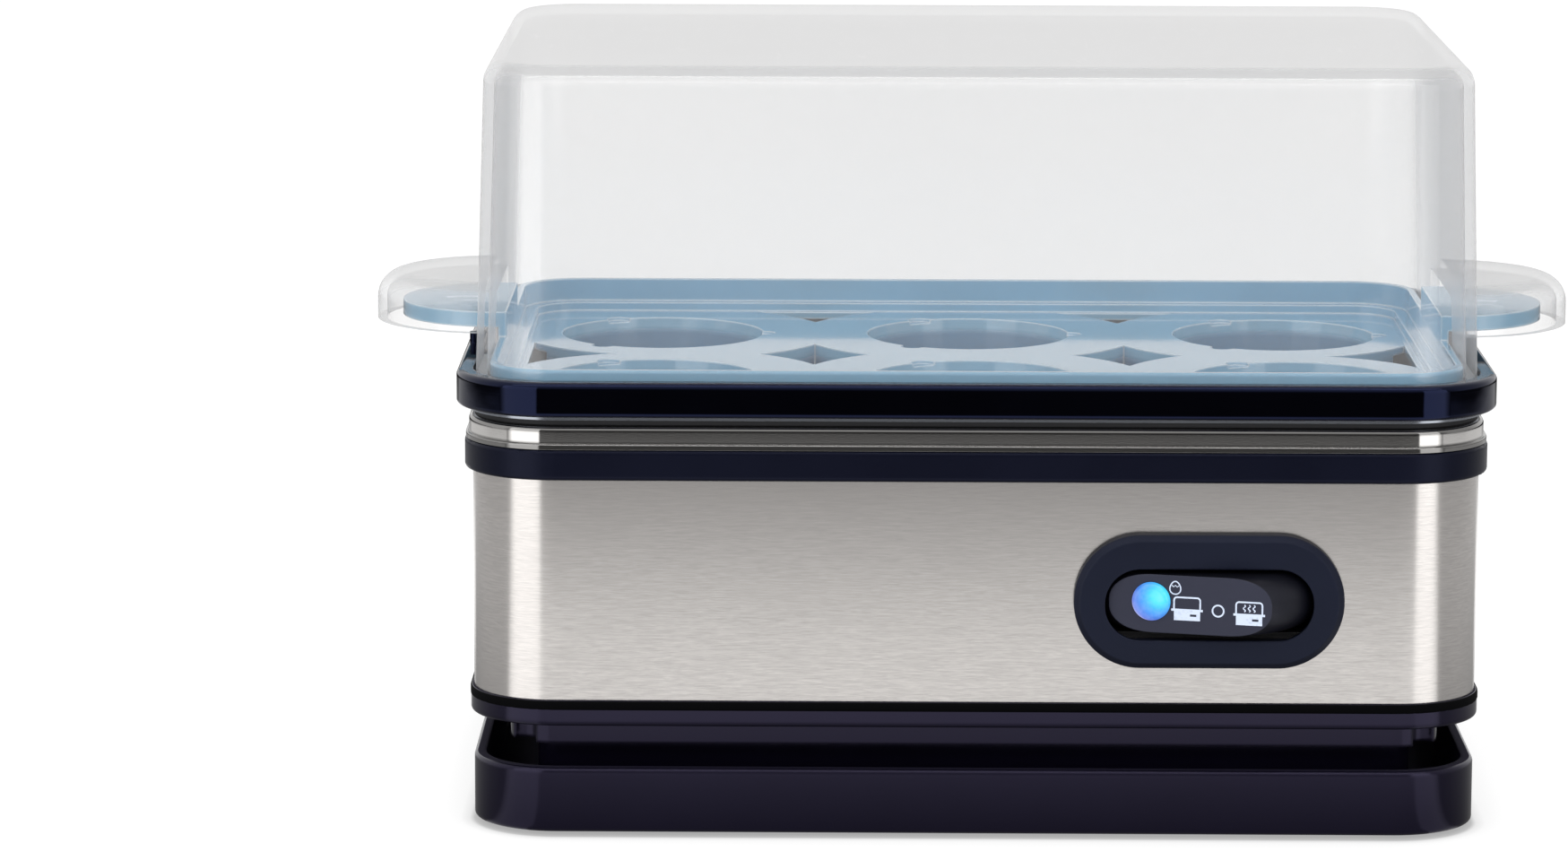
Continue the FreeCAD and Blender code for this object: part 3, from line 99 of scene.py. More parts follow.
class Nodes:
    """Adds shader nodes to a tree; an input may be a number, a colour or another node's socket."""

    def __init__(self, tree):
        self.tree = tree

    def add(self, kind, inputs=None, **settings):
        node = self.tree.nodes.new(kind)
        for key, value in settings.items():
            setattr(node, key, value)
        for key, value in (inputs or {}).items():
            self.feed(node, key, value)
        return node

    def feed(self, node, key, value):
        socket = node.inputs[key]
        if isinstance(value, bpy.types.NodeSocket):
            self.tree.links.new(value, socket)
        elif socket.type == "RGBA":
            socket.default_value = (*value, 1)
        else:
            socket.default_value = value

    def maths(self, operation, first, second=0.0):
        inputs = {0: first, 1: second}
        return self.add("ShaderNodeMath", inputs, operation=operation).outputs[0]

    def vector(self, operation, first, second=(0, 0, 0), output="Vector"):
        inputs = {0: first, 1: second}
        return self.add("ShaderNodeVectorMath", inputs, operation=operation).outputs[output]

    def split(self, vector):
        """The X, Y and Z of a vector."""
        return self.add("ShaderNodeSeparateXYZ", {0: vector}).outputs

    def mix_shaders(self, share, first, second):
        inputs = {0: share, 1: first.outputs[0], 2: second.outputs[0]}
        return self.add("ShaderNodeMixShader", inputs)

    def place(self, stretch=(1, 1, 1), origin=(0, 0, 0)):
        """The part's own coordinates in metres, stretched about an origin."""
        coords = self.add("ShaderNodeTexCoord").outputs["Object"]
        return self.vector("MULTIPLY", self.vector("SUBTRACT", coords, origin), stretch)

    def noise(self, stretch, detail=3.0, roughness=0.55):
        """Noise around 0.5, with stretch as its grains to the metre along X, Y and Z."""
        inputs = {
            "Vector": self.place(stretch), "Scale": 1.0, "Detail": detail, "Roughness": roughness,
        }
        return self.add("ShaderNodeTexNoise", inputs).outputs["Fac"]

    def remap(self, value, low, high, to_low, to_high):
        inputs = {
            "Value": value, "From Min": low, "From Max": high, "To Min": to_low, "To Max": to_high,
        }
        return self.add("ShaderNodeMapRange", inputs).outputs["Result"]

    def blend(self, share, first, second):
        """A colour from first at 0 to second at 1."""
        inputs = {0: share, 6: first, 7: second}
        return self.add("ShaderNodeMix", inputs, data_type="RGBA").outputs[2]

    def ramp(self, value, stops):
        """A colour by value, from pairs of a place from 0 to 1 and a colour."""
        node = self.add("ShaderNodeValToRGB", {"Fac": value})
        elements = node.color_ramp.elements
        while len(elements) < len(stops):
            elements.new(0.5)
        for element, (position, colour) in zip(elements, stops):
            element.position = position
            element.color = (*colour, 1)
        return node.outputs["Color"]

    def grey_ramp(self, value, stops):
        return self.ramp(value, [(position, grey(level)) for position, level in stops])

    def soft_normal(self, radius):
        """A normal that rounds the edges by a radius."""
        return self.add("ShaderNodeBevel", {"Radius": radius}, samples=6).outputs["Normal"]

    def edge_share(self, radius):
        """1 within a radius of edges and corners, 0 on open faces."""
        geometry = self.add("ShaderNodeNewGeometry")
        inputs = (self.soft_normal(radius), geometry.outputs["Normal"])
        return self.remap(self.vector("DOT_PRODUCT", *inputs, "Value"), 0.80, 0.99, 1, 0)

    def inward(self):
        """1 on faces that look up or towards the part's upright middle line, 0 on outer faces."""
        normal = self.add("ShaderNodeNewGeometry").outputs["Normal"]
        outward = self.vector("DOT_PRODUCT", normal, self.place((1, 1.5, 0)), "Value")
        turned = self.remap(outward, 0.0, -0.01, 0, 1)
        up = self.remap(self.split(normal)["Z"], 0.95, 0.99, 0, 1)
        return self.maths("MAXIMUM", turned, up)

    def turned_off(self, heading):
        """1 on faces turned away from straight ahead, or from a heading in degrees beside it."""
        normal = self.add("ShaderNodeTexCoord").outputs["Normal"]
        turn = math.radians(heading)
        ahead = (math.sin(turn), -math.cos(turn), 0)
        return self.remap(self.vector("DOT_PRODUCT", normal, ahead, "Value"), 0.90, 0.985, 1, 0)

    def bump(self, height, depth, normal=None, strength=1.0):
        inputs = {"Height": height, "Distance": depth, "Strength": strength}
        if normal is not None:
            inputs["Normal"] = normal
        return self.add("ShaderNodeBump", inputs).outputs["Normal"]


class Finish(Nodes):
    """A material with one Principled shader."""

    def __init__(self, name, **sockets):
        self.material = bpy.data.materials.new(name)
        self.material.use_nodes = True
        super().__init__(self.material.node_tree)
        self.shader = self.tree.nodes["Principled BSDF"]
        self.output = self.tree.nodes["Material Output"]
        for key, value in sockets.items():
            self.set(key.replace("_", " "), value)

    def set(self, key, value):
        self.feed(self.shader, key, value)


# --- plastics and metals that several parts share --------------------------------------------
# How much paler the edges turn, partly rubbed wear and partly a painted sheen, and how much duller.
RUBBED_AND_SHEEN_PALE = 0.35
RUBBED_DULL = 0.12


def moulded(
    name, colour, roughness, specular, grain, edge, lift=0.05, tint=(1, 1, 1), inside=None, flank=None
):
    """Moulded plastic: fine texture, uneven gloss, and edges a little paler, partly rubbed wear and
    partly a painted sheen. inside is the roughness of its inner and upward faces, and flank the
    colour painted as shade on faces turned off the rocker's."""
    look = Finish(name, Specular_IOR_Level=specular, Specular_Tint=tint)
    cloud = look.noise((45, 45, 45), 4)
    rub = look.noise((900, 900, 900), 3)
    edges = look.maths("MULTIPLY", look.edge_share(edge), look.remap(rub, 0.42, 0.62, 0, 1))
    body = look.blend(look.remap(cloud, 0.35, 0.65, 0, 1), shaded(colour, 0.85), colour)
    # Painted shade: faces turned off the rocker's face take the darker flank colour.
    if flank is not None:
        body = look.blend(look.turned_off(ROCKER_REST), body, flank)
    pale = tuple(part + lift for part in colour)
    # Wear and painted sheen: the rubbed edges turn paler.
    look.set("Base Color", look.blend(look.maths("MULTIPLY", edges, RUBBED_AND_SHEEN_PALE), body, pale))
    gloss = look.remap(cloud, 0.3, 0.7, roughness * 0.88, roughness * 1.12)
    rough = look.maths("ADD", gloss, look.maths("MULTIPLY", edges, RUBBED_DULL))
    if inside is not None:
        rough = look.maths("MAXIMUM", rough, look.maths("MULTIPLY", look.inward(), inside))
    look.set("Roughness", rough)
    texture = look.noise((2200, 2200, 2200), 2)
    look.set("Normal", look.bump(texture, grain, look.soft_normal(edge)))
    return look.material


# Painted shade where the steel meets its neighbours: its dark colour, how far it fades in, and its
# share.
CREVICE_SHADE = (0.05, 0.05, 0.05)
CREVICE_SHADE_FADE = 0.4 * MM
CREVICE_SHADE_SHARE = 0.7


def brushed_steel(name, colour, roughness, streaks, anisotropic, edge, open_band=None):
    """Sheet metal brushed level all the way round, so light spreads up and down. Above and below
    open_band, a pair of heights, where it sits against its neighbours, shade is painted on it."""
    look = Finish(name, Metallic=1.0, Anisotropic=anisotropic, Anisotropic_Rotation=0.25)
    long = look.noise((260, 260, 4200), 2, 0.5)
    short = look.noise((700, 700, 9000), 2, 0.5)
    cloud = look.noise((60, 60, 160), 4)
    both = look.maths("ADD", look.maths("MULTIPLY", long, 0.5), look.maths("MULTIPLY", short, 0.5))
    streaked = look.remap(both, 0.32, 0.68, 0, 1)
    body = look.blend(streaked, shaded(colour, 1 - streaks), shaded(colour, 1 + streaks))
    body = look.blend(look.remap(cloud, 0.5, 0.75, 0, 0.3), body, shaded(colour, 0.93))
    # Painted shade: the colour darkens to near black above and below the open band.
    if open_band is not None:
        low, high = open_band
        height = look.split(look.place())["Z"]
        under = look.remap(height, low, low - CREVICE_SHADE_FADE, 0, CREVICE_SHADE_SHARE)
        over = look.remap(height, high, high + CREVICE_SHADE_FADE, 0, CREVICE_SHADE_SHARE)
        body = look.blend(look.maths("MAXIMUM", under, over), body, CREVICE_SHADE)
    look.set("Base Color", body)
    look.set("Roughness", look.remap(both, 0.3, 0.7, roughness * 1.1, roughness * 0.9))
    look.set("Normal", look.bump(short, 0.002 * MM, look.soft_normal(edge), 0.5))
    tangent = look.add("ShaderNodeTangent", direction_type="RADIAL", axis="Z")
    look.set("Tangent", tangent.outputs[0])
    return look.material


def bare_metal(name, colour, roughness, grain=0.02 * MM):
    """Small metal parts: fine grain, dull patches and brighter edges."""
    look = Finish(name, Metallic=1.0)
    cloud = look.noise((160, 160, 160), 4)
    fine = look.noise((1800, 1800, 1800), 3)
    body = look.blend(look.remap(cloud, 0.35, 0.65, 0, 1), shaded(colour, 0.78), colour)
    look.set("Base Color", look.blend(look.edge_share(0.3 * MM), body, shaded(colour, 1.2)))
    look.set("Roughness", look.remap(cloud, 0.3, 0.7, roughness * 1.25, roughness * 0.8))
    look.set("Normal", look.bump(fine, grain, look.soft_normal(0.2 * MM)))
    return look.material


def insulation(name, colour):
    """A lead's PVC sleeve: waxy, with faint rings from its extrusion."""
    look = Finish(name, Specular_IOR_Level=0.4)
    rings = look.noise((500, 500, 500), 3)
    pale = tuple(min(part * 1.35 + 0.01, 1) for part in colour)
    look.set("Base Color", look.blend(look.remap(rings, 0.35, 0.65, 0, 1), colour, pale))
    look.set("Roughness", look.remap(rings, 0.3, 0.7, 0.38, 0.52))
    look.set("Normal", look.bump(rings, 0.02 * MM))
    return look.material


# --- finishes of single parts ----------------------------------------------------------------
def gloss_black():
    """Polished black: a deep mirror with faint hairlines and a trace of unevenness."""
    look = Finish("gloss_black", Specular_IOR_Level=0.5, Specular_Tint=(0.25, 0.32, 0.80))
    hair = look.noise((60, 60, 5200), 2)
    cloud = look.noise((70, 70, 70), 3)
    look.set("Base Color", look.blend(cloud, (0.0005, 0.0005, 0.0008), (0.0010, 0.0010, 0.0020)))
    look.set("Roughness", look.remap(hair, 0.5, 0.75, 0.03, 0.09))
    look.set("Normal", look.bump(cloud, 0.03 * MM, look.soft_normal(0.35 * MM)))
    return look.material


# Tray colours: two random tones, painted shade for the recesses, and a painted highlight for the
# edges.
TRAY_DEEP = (0.145, 0.365, 0.540)
TRAY_MAIN = (0.170, 0.410, 0.600)
TRAY_EDGE_HIGHLIGHT = (0.78, 0.86, 0.92)
TRAY_RECESS_SHADE = (0.012, 0.145, 0.300)
HOLE_WALL = 7.8 * MM
RECESS_FADE = 1.5 * MM
RECESS_DULL = 0.45


def tray_plastic():
    """Glossy blue-grey plastic: its edges paler with a painted highlight, and inside its holes deeper
    with painted shade and duller; the holes' walls reach down by HOLE_WALL from the floor's
    underside."""
    look = Finish("tray_plastic", Specular_IOR_Level=0.8, Coat_Weight=0.5, Coat_Roughness=0.05)
    cloud = look.noise((60, 60, 60), 3)
    fine = look.noise((700, 700, 700), 2)
    body = look.blend(look.remap(cloud, 0.3, 0.7, 0, 1), TRAY_DEEP, TRAY_MAIN)
    # Painted shade: below the floor's underside, inside the holes, the colour deepens; there it is
    # also duller.
    floor_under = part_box("egg_tray")[0].z + HOLE_WALL
    height = look.split(look.place())["Z"]
    below = look.remap(height, floor_under, floor_under - RECESS_FADE, 0, 1)
    body = look.blend(below, body, TRAY_RECESS_SHADE)
    # Painted highlight: the edges turn pale.
    edges = look.maths("MULTIPLY", look.edge_share(0.8 * MM), 0.9)
    look.set("Base Color", look.blend(edges, body, TRAY_EDGE_HIGHLIGHT))
    gloss = look.remap(fine, 0.3, 0.7, 0.07, 0.13)
    look.set("Roughness", look.maths("ADD", gloss, look.maths("MULTIPLY", below, RECESS_DULL)))
    look.set("Normal", look.bump(cloud, 0.04 * MM, look.soft_normal(0.45 * MM)))
    return look.material


# The lid's milky share: all over, more at a slant, and more again on top. What is left is clear.
HAZE = 0.075
SLANT_HAZE = 0.40
TOP_HAZE = 0.46
SCUFF_HAZE = 0.03
LID_CLEAR = (0.965, 0.965, 0.965)
LID_WALL_MILK = (0.95, 0.935, 0.935)
LID_TOP_MILK_SHADED = (0.63, 0.625, 0.625)
LID_MIRROR = (0.03, 0.17)


def clear_lid():
    """Clear plastic with a white haze: mostly see-through, mirroring at a slant. On faces that look
    up its milk is darker, painted shade.
    """
    look = Finish("clear_lid", Roughness=0.35, Specular_IOR_Level=0.2)
    upward = look.maths("ABSOLUTE", look.split(look.soft_normal(0.4 * MM))["Z"])
    topward = look.remap(upward, 0.2, 0.9, 0, 1)
    # Painted shade: the milk is darker on faces that look up.
    look.set("Base Color", look.blend(topward, LID_WALL_MILK, LID_TOP_MILK_SHADED))
    cloud = look.noise((14, 14, 14), 3)
    scuff = look.noise((420, 60, 900), 3, 0.7)
    haze = look.maths(
        "ADD", look.remap(cloud, 0.3, 0.7, HAZE * 0.88, HAZE * 1.12),
        look.remap(scuff, 0.62, 0.8, 0, SCUFF_HAZE),
    )
    facing = look.add("ShaderNodeLayerWeight", {"Blend": 0.5}).outputs["Facing"]
    slanted = look.maths("MULTIPLY", look.maths("POWER", facing, 3.0), SLANT_HAZE)
    on_top = look.maths("MULTIPLY", look.maths("POWER", facing, 2.0), TOP_HAZE)
    on_top = look.maths("MULTIPLY", topward, on_top)
    share = look.maths("ADD", haze, look.maths("ADD", slanted, on_top))
    clear = look.add("ShaderNodeBsdfTransparent", {"Color": LID_CLEAR})
    body = look.mix_shaders(share, clear, look.shader)
    mirror = look.remap(look.maths("POWER", facing, 5.0), 0, 1, *LID_MIRROR)
    gloss = look.add("ShaderNodeBsdfGlossy", {"Color": (1, 1, 1), "Roughness": 0.16})
    look.feed(look.output, "Surface", look.mix_shaders(mirror, body, gloss).outputs[0])
    return look.material


LENS_SHIFT = Vector((1.1, 0, 1.1)) * MM
LENS_REACH = 5.7 * MM
# The lamp's glow by distance from its brightest place; the pale lavender at the rim is a painted
# highlight.
LENS_GLOW_AND_HIGHLIGHT = [
    (0.0, (0.20, 1.0, 1.0)), (0.26, (0.03, 0.84, 1.0)), (0.48, (0.01, 0.40, 0.97)),
    (0.72, (0.04, 0.16, 0.66)), (0.86, (0.16, 0.20, 0.70)), (0.97, (0.62, 0.60, 0.92)),
]


def lamp_lens():
    """A domed lens lit from behind: bright cyan off its centre, lavender towards its rim, where the
    pale last ring is a painted highlight.
    """
    low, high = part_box("lamp_lens")
    brightest = (low + high) / 2 + LENS_SHIFT
    look = Finish("lamp_lens", Base_Color=(0.03, 0.10, 0.25), Roughness=0.12)
    away = look.vector("LENGTH", look.place((1, 0.35, 1), tuple(brightest)), output="Value")
    glow_and_highlight = look.ramp(look.remap(away, 0, LENS_REACH, 0, 1), LENS_GLOW_AND_HIGHLIGHT)
    fine = look.noise((900, 900, 900), 2)
    look.set("Emission Color", look.blend(look.remap(fine, 0.3, 0.7, 0, 0.08), glow_and_highlight, grey(1.0)))
    look.set("Emission Strength", 0.85)
    return look.material


def lamp_glass():
    """The lamp behind the lens, lit."""
    look = Finish("lamp_glass", Base_Color=(0.6, 0.85, 1.0), Roughness=0.08)
    cloud = look.noise((500, 500, 500), 2)
    look.set("Emission Color", look.blend(cloud, (0.0, 0.5, 1.0), (0.1, 0.8, 1.0)))
    look.set("Emission Strength", 1.5)
    return look.material


def circuit_laminate():
    """Green laminate with a lattice of tinned tracks."""
    look = Finish("circuit_laminate", Specular_IOR_Level=0.5)
    weave = look.noise((1500, 400, 1500), 2)
    inputs = {"Vector": look.place((330, 330, 330)), "Scale": 1.0, "Mortar Size": 0.06}
    cells = look.add("ShaderNodeTexBrick", inputs).outputs["Fac"]
    green = look.blend(weave, (0.012, 0.10, 0.035), (0.02, 0.15, 0.055))
    look.set("Base Color", look.blend(look.maths("MULTIPLY", cells, 0.6), green, (0.30, 0.38, 0.28)))
    look.set("Roughness", look.remap(weave, 0.3, 0.7, 0.32, 0.45))
    look.set("Normal", look.bump(cells, 0.03 * MM, look.soft_normal(0.2 * MM)))
    return look.material


def print_ink():
    """Pale ink, worn thin in places."""
    look = Finish("print_ink", Roughness=0.42)
    wear = look.noise((1600, 1600, 1600), 3)
    worn = look.remap(wear, 0.55, 0.75, 0, 0.5)
    look.set("Base Color", look.blend(worn, (0.62, 0.70, 0.86), (0.34, 0.40, 0.52)))
    look.set("Normal", look.bump(wear, 0.01 * MM))
    return look.material


# --- each part's finish ----------------------------------------------------------------------
def casing_finishes():
    """The black plastics of the casing and the switch."""
    return {
        "plinth lower_housing": moulded(
            "base_plastic", (0.0030, 0.0024, 0.0070), roughness=0.14, specular=0.40,
            grain=0.004 * MM, edge=0.9 * MM, lift=0.02, tint=(0.66, 0.60, 1.0), inside=0.9,
        ),
        "upper_band": moulded(
            "satin_plastic", (0.0020, 0.0026, 0.0080), roughness=0.34, specular=0.18,
            grain=0.01 * MM, edge=0.5 * MM, lift=0.02, tint=(0.62, 0.66, 1.0),
        ),
        "switch_bezel": moulded(
            "bezel_plastic", (0.0062, 0.0080, 0.0175), roughness=0.36, specular=0.22,
            grain=0.01 * MM, edge=0.5 * MM, lift=0.02, tint=(0.7, 0.75, 1.0),
        ),
        "rocker": moulded(
            "rocker_plastic", (0.0225, 0.0240, 0.0400), roughness=0.38, specular=0.40,
            grain=0.01 * MM, edge=0.3 * MM, lift=0.03, tint=(0.8, 0.82, 1.0),
            # flank: painted shade on the rocker's sides
            flank=(0.0035, 0.0036, 0.0065),
        ),
        "top_rim": gloss_black(),
    }


# How far painted shade reaches onto the collar, in from its lower edge and in from its upper edge.
COLLAR_SHADE_REACH = (1.5 * MM, 1.4 * MM)


def metal_finishes():
    """The steel that shows, and the pan, plate, clamps and screws inside."""
    screw = bare_metal("screw_steel", (0.52, 0.52, 0.53), 0.3)
    low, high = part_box("steel_collar")
    collar_open = (low.z + COLLAR_SHADE_REACH[0], high.z - COLLAR_SHADE_REACH[1])
    return {
        "steel_shell": brushed_steel(
            "brushed_steel", (0.63, 0.603, 0.582), roughness=0.22, streaks=0.09, anisotropic=0.60,
            edge=0.25 * MM,
        ),
        "steel_collar": brushed_steel(
            "polished_steel", (0.76, 0.74, 0.72), roughness=0.07, streaks=0.03, anisotropic=0.3,
            edge=0.08 * MM, open_band=collar_open,
        ),
        "heating_pan": brushed_steel(
            "pan_steel", (0.34, 0.36, 0.40), roughness=0.20, streaks=0.05, anisotropic=0.3,
            edge=0.03 * MM,
        ),
        "housing_screws base_screws element_clamp_1 element_clamp_2": screw,
        "thermostat_bracket rocker_pin": screw,
        "heating_plate thermostat": bare_metal("aluminium", (0.70, 0.70, 0.71), 0.38),
        "heating_element": bare_metal("element_sheath", (0.30, 0.27, 0.25), 0.42, 0.04 * MM),
        "earth_tab switch_terminals": bare_metal("brass", (0.72, 0.52, 0.24), 0.28),
    }


def inner_finishes():
    """Rubber, silicone, ceramic, the electric parts and the leads."""
    return {
        "cord_gland foot_1 foot_2 foot_3 foot_4": moulded(
            "black_rubber", (0.012, 0.012, 0.012), roughness=0.75, specular=0.3,
            grain=0.03 * MM, edge=0.5 * MM, lift=0.02,
        ),
        "pan_seal": moulded(
            "silicone", (0.016, 0.016, 0.018), roughness=0.6, specular=0.3,
            grain=0.02 * MM, edge=0.2 * MM, lift=0.02,
        ),
        "thermal_fuse dropper_resistor": moulded(
            "ceramic", (0.66, 0.63, 0.56), roughness=0.7, specular=0.4,
            grain=0.04 * MM, edge=0.3 * MM,
        ),
        "terminal_block": moulded(
            "nylon", (0.74, 0.72, 0.66), roughness=0.42, specular=0.5,
            grain=0.01 * MM, edge=0.3 * MM,
        ),
        "buzzer switch_body": moulded(
            "black_component", (0.009, 0.009, 0.010), roughness=0.5, specular=0.3,
            grain=0.01 * MM, edge=0.3 * MM,
        ),
        "capacitor": moulded(
            "blue_sleeve", (0.02, 0.05, 0.22), roughness=0.28, specular=0.5,
            grain=0.01 * MM, edge=0.3 * MM,
        ),
        "circuit_board": circuit_laminate(),
        "lead_live lead_element_front lead_switch_feed": insulation(
            "lead_brown", (0.12, 0.04, 0.02)
        ),
        "lead_neutral lead_element_back": insulation("lead_blue", (0.02, 0.07, 0.34)),
        "lead_earth": insulation("lead_green", (0.08, 0.32, 0.06)),
        "lead_lamp lead_thermostat_left lead_thermostat_right": insulation(
            "lead_white", (0.72, 0.72, 0.69)
        ),
    }


def finish_nodes():
    """Each CAD part's material, put in the slot that it has."""
    table = {"lamp_lens": lamp_lens(), "lamp": lamp_glass(), "egg_tray": tray_plastic()}
    table["lid"] = clear_lid()
    table.update(casing_finishes())
    table.update(metal_finishes())
    table.update(inner_finishes())
    for names, material in table.items():
        for name in names.split():
            for slot in nodes[name].material_slots:
                slot.material = material


# --- a dark ring of painted shade between the shell and the lower housing --------------------
CORNER_STEPS = 12
# Its outline in millimetres: out from the flange's face, and up from the shell's lower edge.
SHADOW_RING_OUTLINE = [
    (-0.4, -1.70), (0.02, -1.70), (0.12, -1.45), (0.12, -0.30), (0.02, -0.05), (-0.4, -0.05),
]


def rounded_outline(corner, height):
    """Points round the casing at one height, with a corner radius about the corners' axes."""
    points = []
    for k in range(4 * CORNER_STEPS):
        quarter, step = divmod(k, CORNER_STEPS)
        turn = math.tau / 4 * (quarter + step / (CORNER_STEPS - 1))
        side_x = 1 if quarter in (0, 3) else -1
        side_y = 1 if quarter in (0, 1) else -1
        x = side_x * CORNER_X + corner * math.cos(turn)
        y = side_y * CORNER_Y + corner * math.sin(turn)
        points.append((x, y, height))
    return points


def make_shadow_ring():
    """A thin dark ring of painted shade for the shadow gap under the shell, let into the top of the
    housing's flange, rounded on its outer face.
    """
    flange_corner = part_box("lower_housing")[1].x - CORNER_X
    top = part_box("steel_shell")[0].z
    mesh = bmesh.new()
    loops = []
    for out, up in SHADOW_RING_OUTLINE:
        outline = rounded_outline(flange_corner + out * MM, top + up * MM)
        loops.append([mesh.verts.new(point) for point in outline])
    count = len(loops[0])
    for lower, upper in zip(loops, loops[1:] + loops[:1]):
        for k in range(count):
            after = (k + 1) % count
            mesh.faces.new((lower[k], lower[after], upper[after], upper[k]))
    # Near-black and matte: painted shade for the shadow gap at the shell's lower edge.
    rubber = moulded(
        "shadow_ring_black", (0.0008, 0.0008, 0.0012), roughness=0.7, specular=0.05,
        grain=0.01 * MM, edge=0.1 * MM, lift=0.004,
    )
    data = mesh_data("shell_shadow_ring", mesh, rubber)
    data.polygons.foreach_set("use_smooth", [True] * len(data.polygons))
    shadow_ring = put_in_scene("shell_shadow_ring", data)
    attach(shadow_ring, "base")


# --- signs printed on the rocker -------------------------------------------------------------
FACE_DEPTH = 15.3 * MM
INK = 0.05 * MM
LINE = 0.30 * MM
THIN_LINE = 0.20 * MM
OVAL_STEPS = 48

# Where each sign is on the rocker's face, in millimetres across and up from the pivot.
EGG_AT = (-2.82, 3.15)
COOK_AT = (-0.57, -0.75)
OFF_AT = (5.23, -0.8)
STEAM_AT = (11.03, -1.05)


def rocker_face():
    """The rocker's face: a frame at the pivot, turned as the rocker is at rest."""
    pivot = Matrix.Translation(ROCKER_JOINT["pos_m"])
    return pivot @ Matrix.Rotation(math.radians(ROCKER_REST), 4, "Z")


class Print:
    """Flat ink shapes about a place on the rocker's face, in millimetres across and up from it."""

    def __init__(self, place):
        self.mesh = bmesh.new()
        self.middle = Vector(place)

    def metres(self, points):
        return [(self.middle + Vector(point)) * MM for point in points]

    def ribbon(self, points, closed=False, line=LINE):
        """A stroke of even width along a run of points."""
        path = self.metres(points)
        count = len(path)
        sides = []
        for k, here in enumerate(path):
            before = path[k - 1] if k or closed else here
            after = path[(k + 1) % count] if k < count - 1 or closed else here
            ahead = (here - before).normalized() + (after - here).normalized()
            ahead.normalize()
            across = Vector((-ahead.y, ahead.x)) * line / 2
            sides.append((here + across, here - across))
        for k in range(count if closed else count - 1):
            (a, b), (d, c) = sides[k], sides[(k + 1) % count]
            self.tile([a, b, c, d])

    def tile(self, corners):
        """A thin slab over the corners, given in order."""
        front = [self.mesh.verts.new((p.x, -FACE_DEPTH - INK, p.y)) for p in corners]
        back = [self.mesh.verts.new((p.x, -FACE_DEPTH + INK, p.y)) for p in corners]
        self.mesh.faces.new(front)
        self.mesh.faces.new(back[::-1])
        for k in range(len(corners)):
            after = (k + 1) % len(corners)
            self.mesh.faces.new((front[after], front[k], back[k], back[after]))

    def block(self, left, right, low, high):
        self.tile(self.metres([(left, low), (right, low), (right, high), (left, high)]))

    def oval(self, wide, tall, line=LINE, narrow=0.0):
        """A ring; narrow pulls its top in, as an egg's."""
        points = []
        for k in range(OVAL_STEPS):
            turn = math.tau * k / OVAL_STEPS
            up = math.sin(turn)
            points.append((wide * (1 - narrow * up) * math.cos(turn), tall * up))
        self.ribbon(points, True, line)

    def finish(self, name, material):
        piece = put_in_scene(name, mesh_data(name, self.mesh, material))
        piece.matrix_world = rocker_face()
        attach(piece, "rocker")


# The cooker sign, in millimetres from the middle of its base's upper edge: half widths, heights,
# and the slot that its base leaves open from one place across to another.
SIGN_HALF = 2.45
SIGN_LUG = 2.95
SIGN_LID = 2.15
SIGN_ROUND = 0.55
SIGN_LUG_LOW = -0.42
SIGN_SLOT_HIGH = -0.95
SIGN_SLOT_LOW = -1.38
SIGN_LOW = -2.15
SIGN_SLOT = (0.55, 1.75)
ROUND_STEPS = 4
WAVE_STEPS = 12
WAVE_LOW = 0.35
WAVE_TALL = 1.3
WAVE_SWAY = 0.2
WAVE_APART = 0.9


def lid_line():
    """The sign's lid as a run of points: up, round its two corners and down."""
    arch = [(-SIGN_HALF, 0)]
    for side, start in ((-1, 180), (1, 90)):
        for k in range(ROUND_STEPS + 1):
            turn = math.radians(start - 90 * k / ROUND_STEPS)
            across = side * (SIGN_HALF - SIGN_ROUND) + SIGN_ROUND * math.cos(turn)
            arch.append((across, SIGN_LID - SIGN_ROUND + SIGN_ROUND * math.sin(turn)))
    return arch + [(SIGN_HALF, 0)]


def steam_line(across):
    """One wavy rising line under the lid."""
    wave = []
    for k in range(WAVE_STEPS + 1):
        sway = WAVE_SWAY * math.sin(math.tau * k / 8)
        wave.append((across + sway, WAVE_LOW + WAVE_TALL * k / WAVE_STEPS))
    return wave


def cooker_sign(name, place, steam, ink):
    """A small cooker: a lid drawn as a line, a solid base with lugs, and a slot left open."""
    sign = Print(place)
    sign.ribbon(lid_line())
    sign.block(-SIGN_LUG, SIGN_LUG, SIGN_LUG_LOW, 0)
    sign.block(-SIGN_HALF, SIGN_HALF, SIGN_SLOT_HIGH, SIGN_LUG_LOW)
    sign.block(-SIGN_HALF, SIGN_SLOT[0], SIGN_SLOT_LOW, SIGN_SLOT_HIGH)
    sign.block(SIGN_SLOT[1], SIGN_HALF, SIGN_SLOT_LOW, SIGN_SLOT_HIGH)
    sign.block(-SIGN_HALF, SIGN_HALF, SIGN_LOW, SIGN_SLOT_LOW)
    for across in (-WAVE_APART, 0, WAVE_APART) if steam else ():
        sign.ribbon(steam_line(across), False, THIN_LINE)
    sign.finish(name, ink)


def make_signs():
    """An egg with a cracked shell, a cooker, a ring for off, and a cooker with steam."""
    ink = print_ink()
    egg = Print(EGG_AT)
    egg.oval(1.0, 1.2, line=0.22 * MM, narrow=0.18)
    crack = [(-0.65, 0.45), (-0.3, 0.15), (0, 0.47), (0.35, 0.13), (0.65, 0.40)]
    egg.ribbon(crack, line=0.16 * MM)
    egg.finish("sign_egg", ink)
    cooker_sign("sign_cook", COOK_AT, False, ink)
    ring = Print(OFF_AT)
    ring.oval(1.05, 1.05)
    ring.finish("sign_off", ink)
    cooker_sign("sign_steam", STEAM_AT, True, ink)


# --- the table -------------------------------------------------------------------------------
FLOOR_FRONT = -1.0
FLOOR_BACK = 2.2
FLOOR_SIDE = 1.6

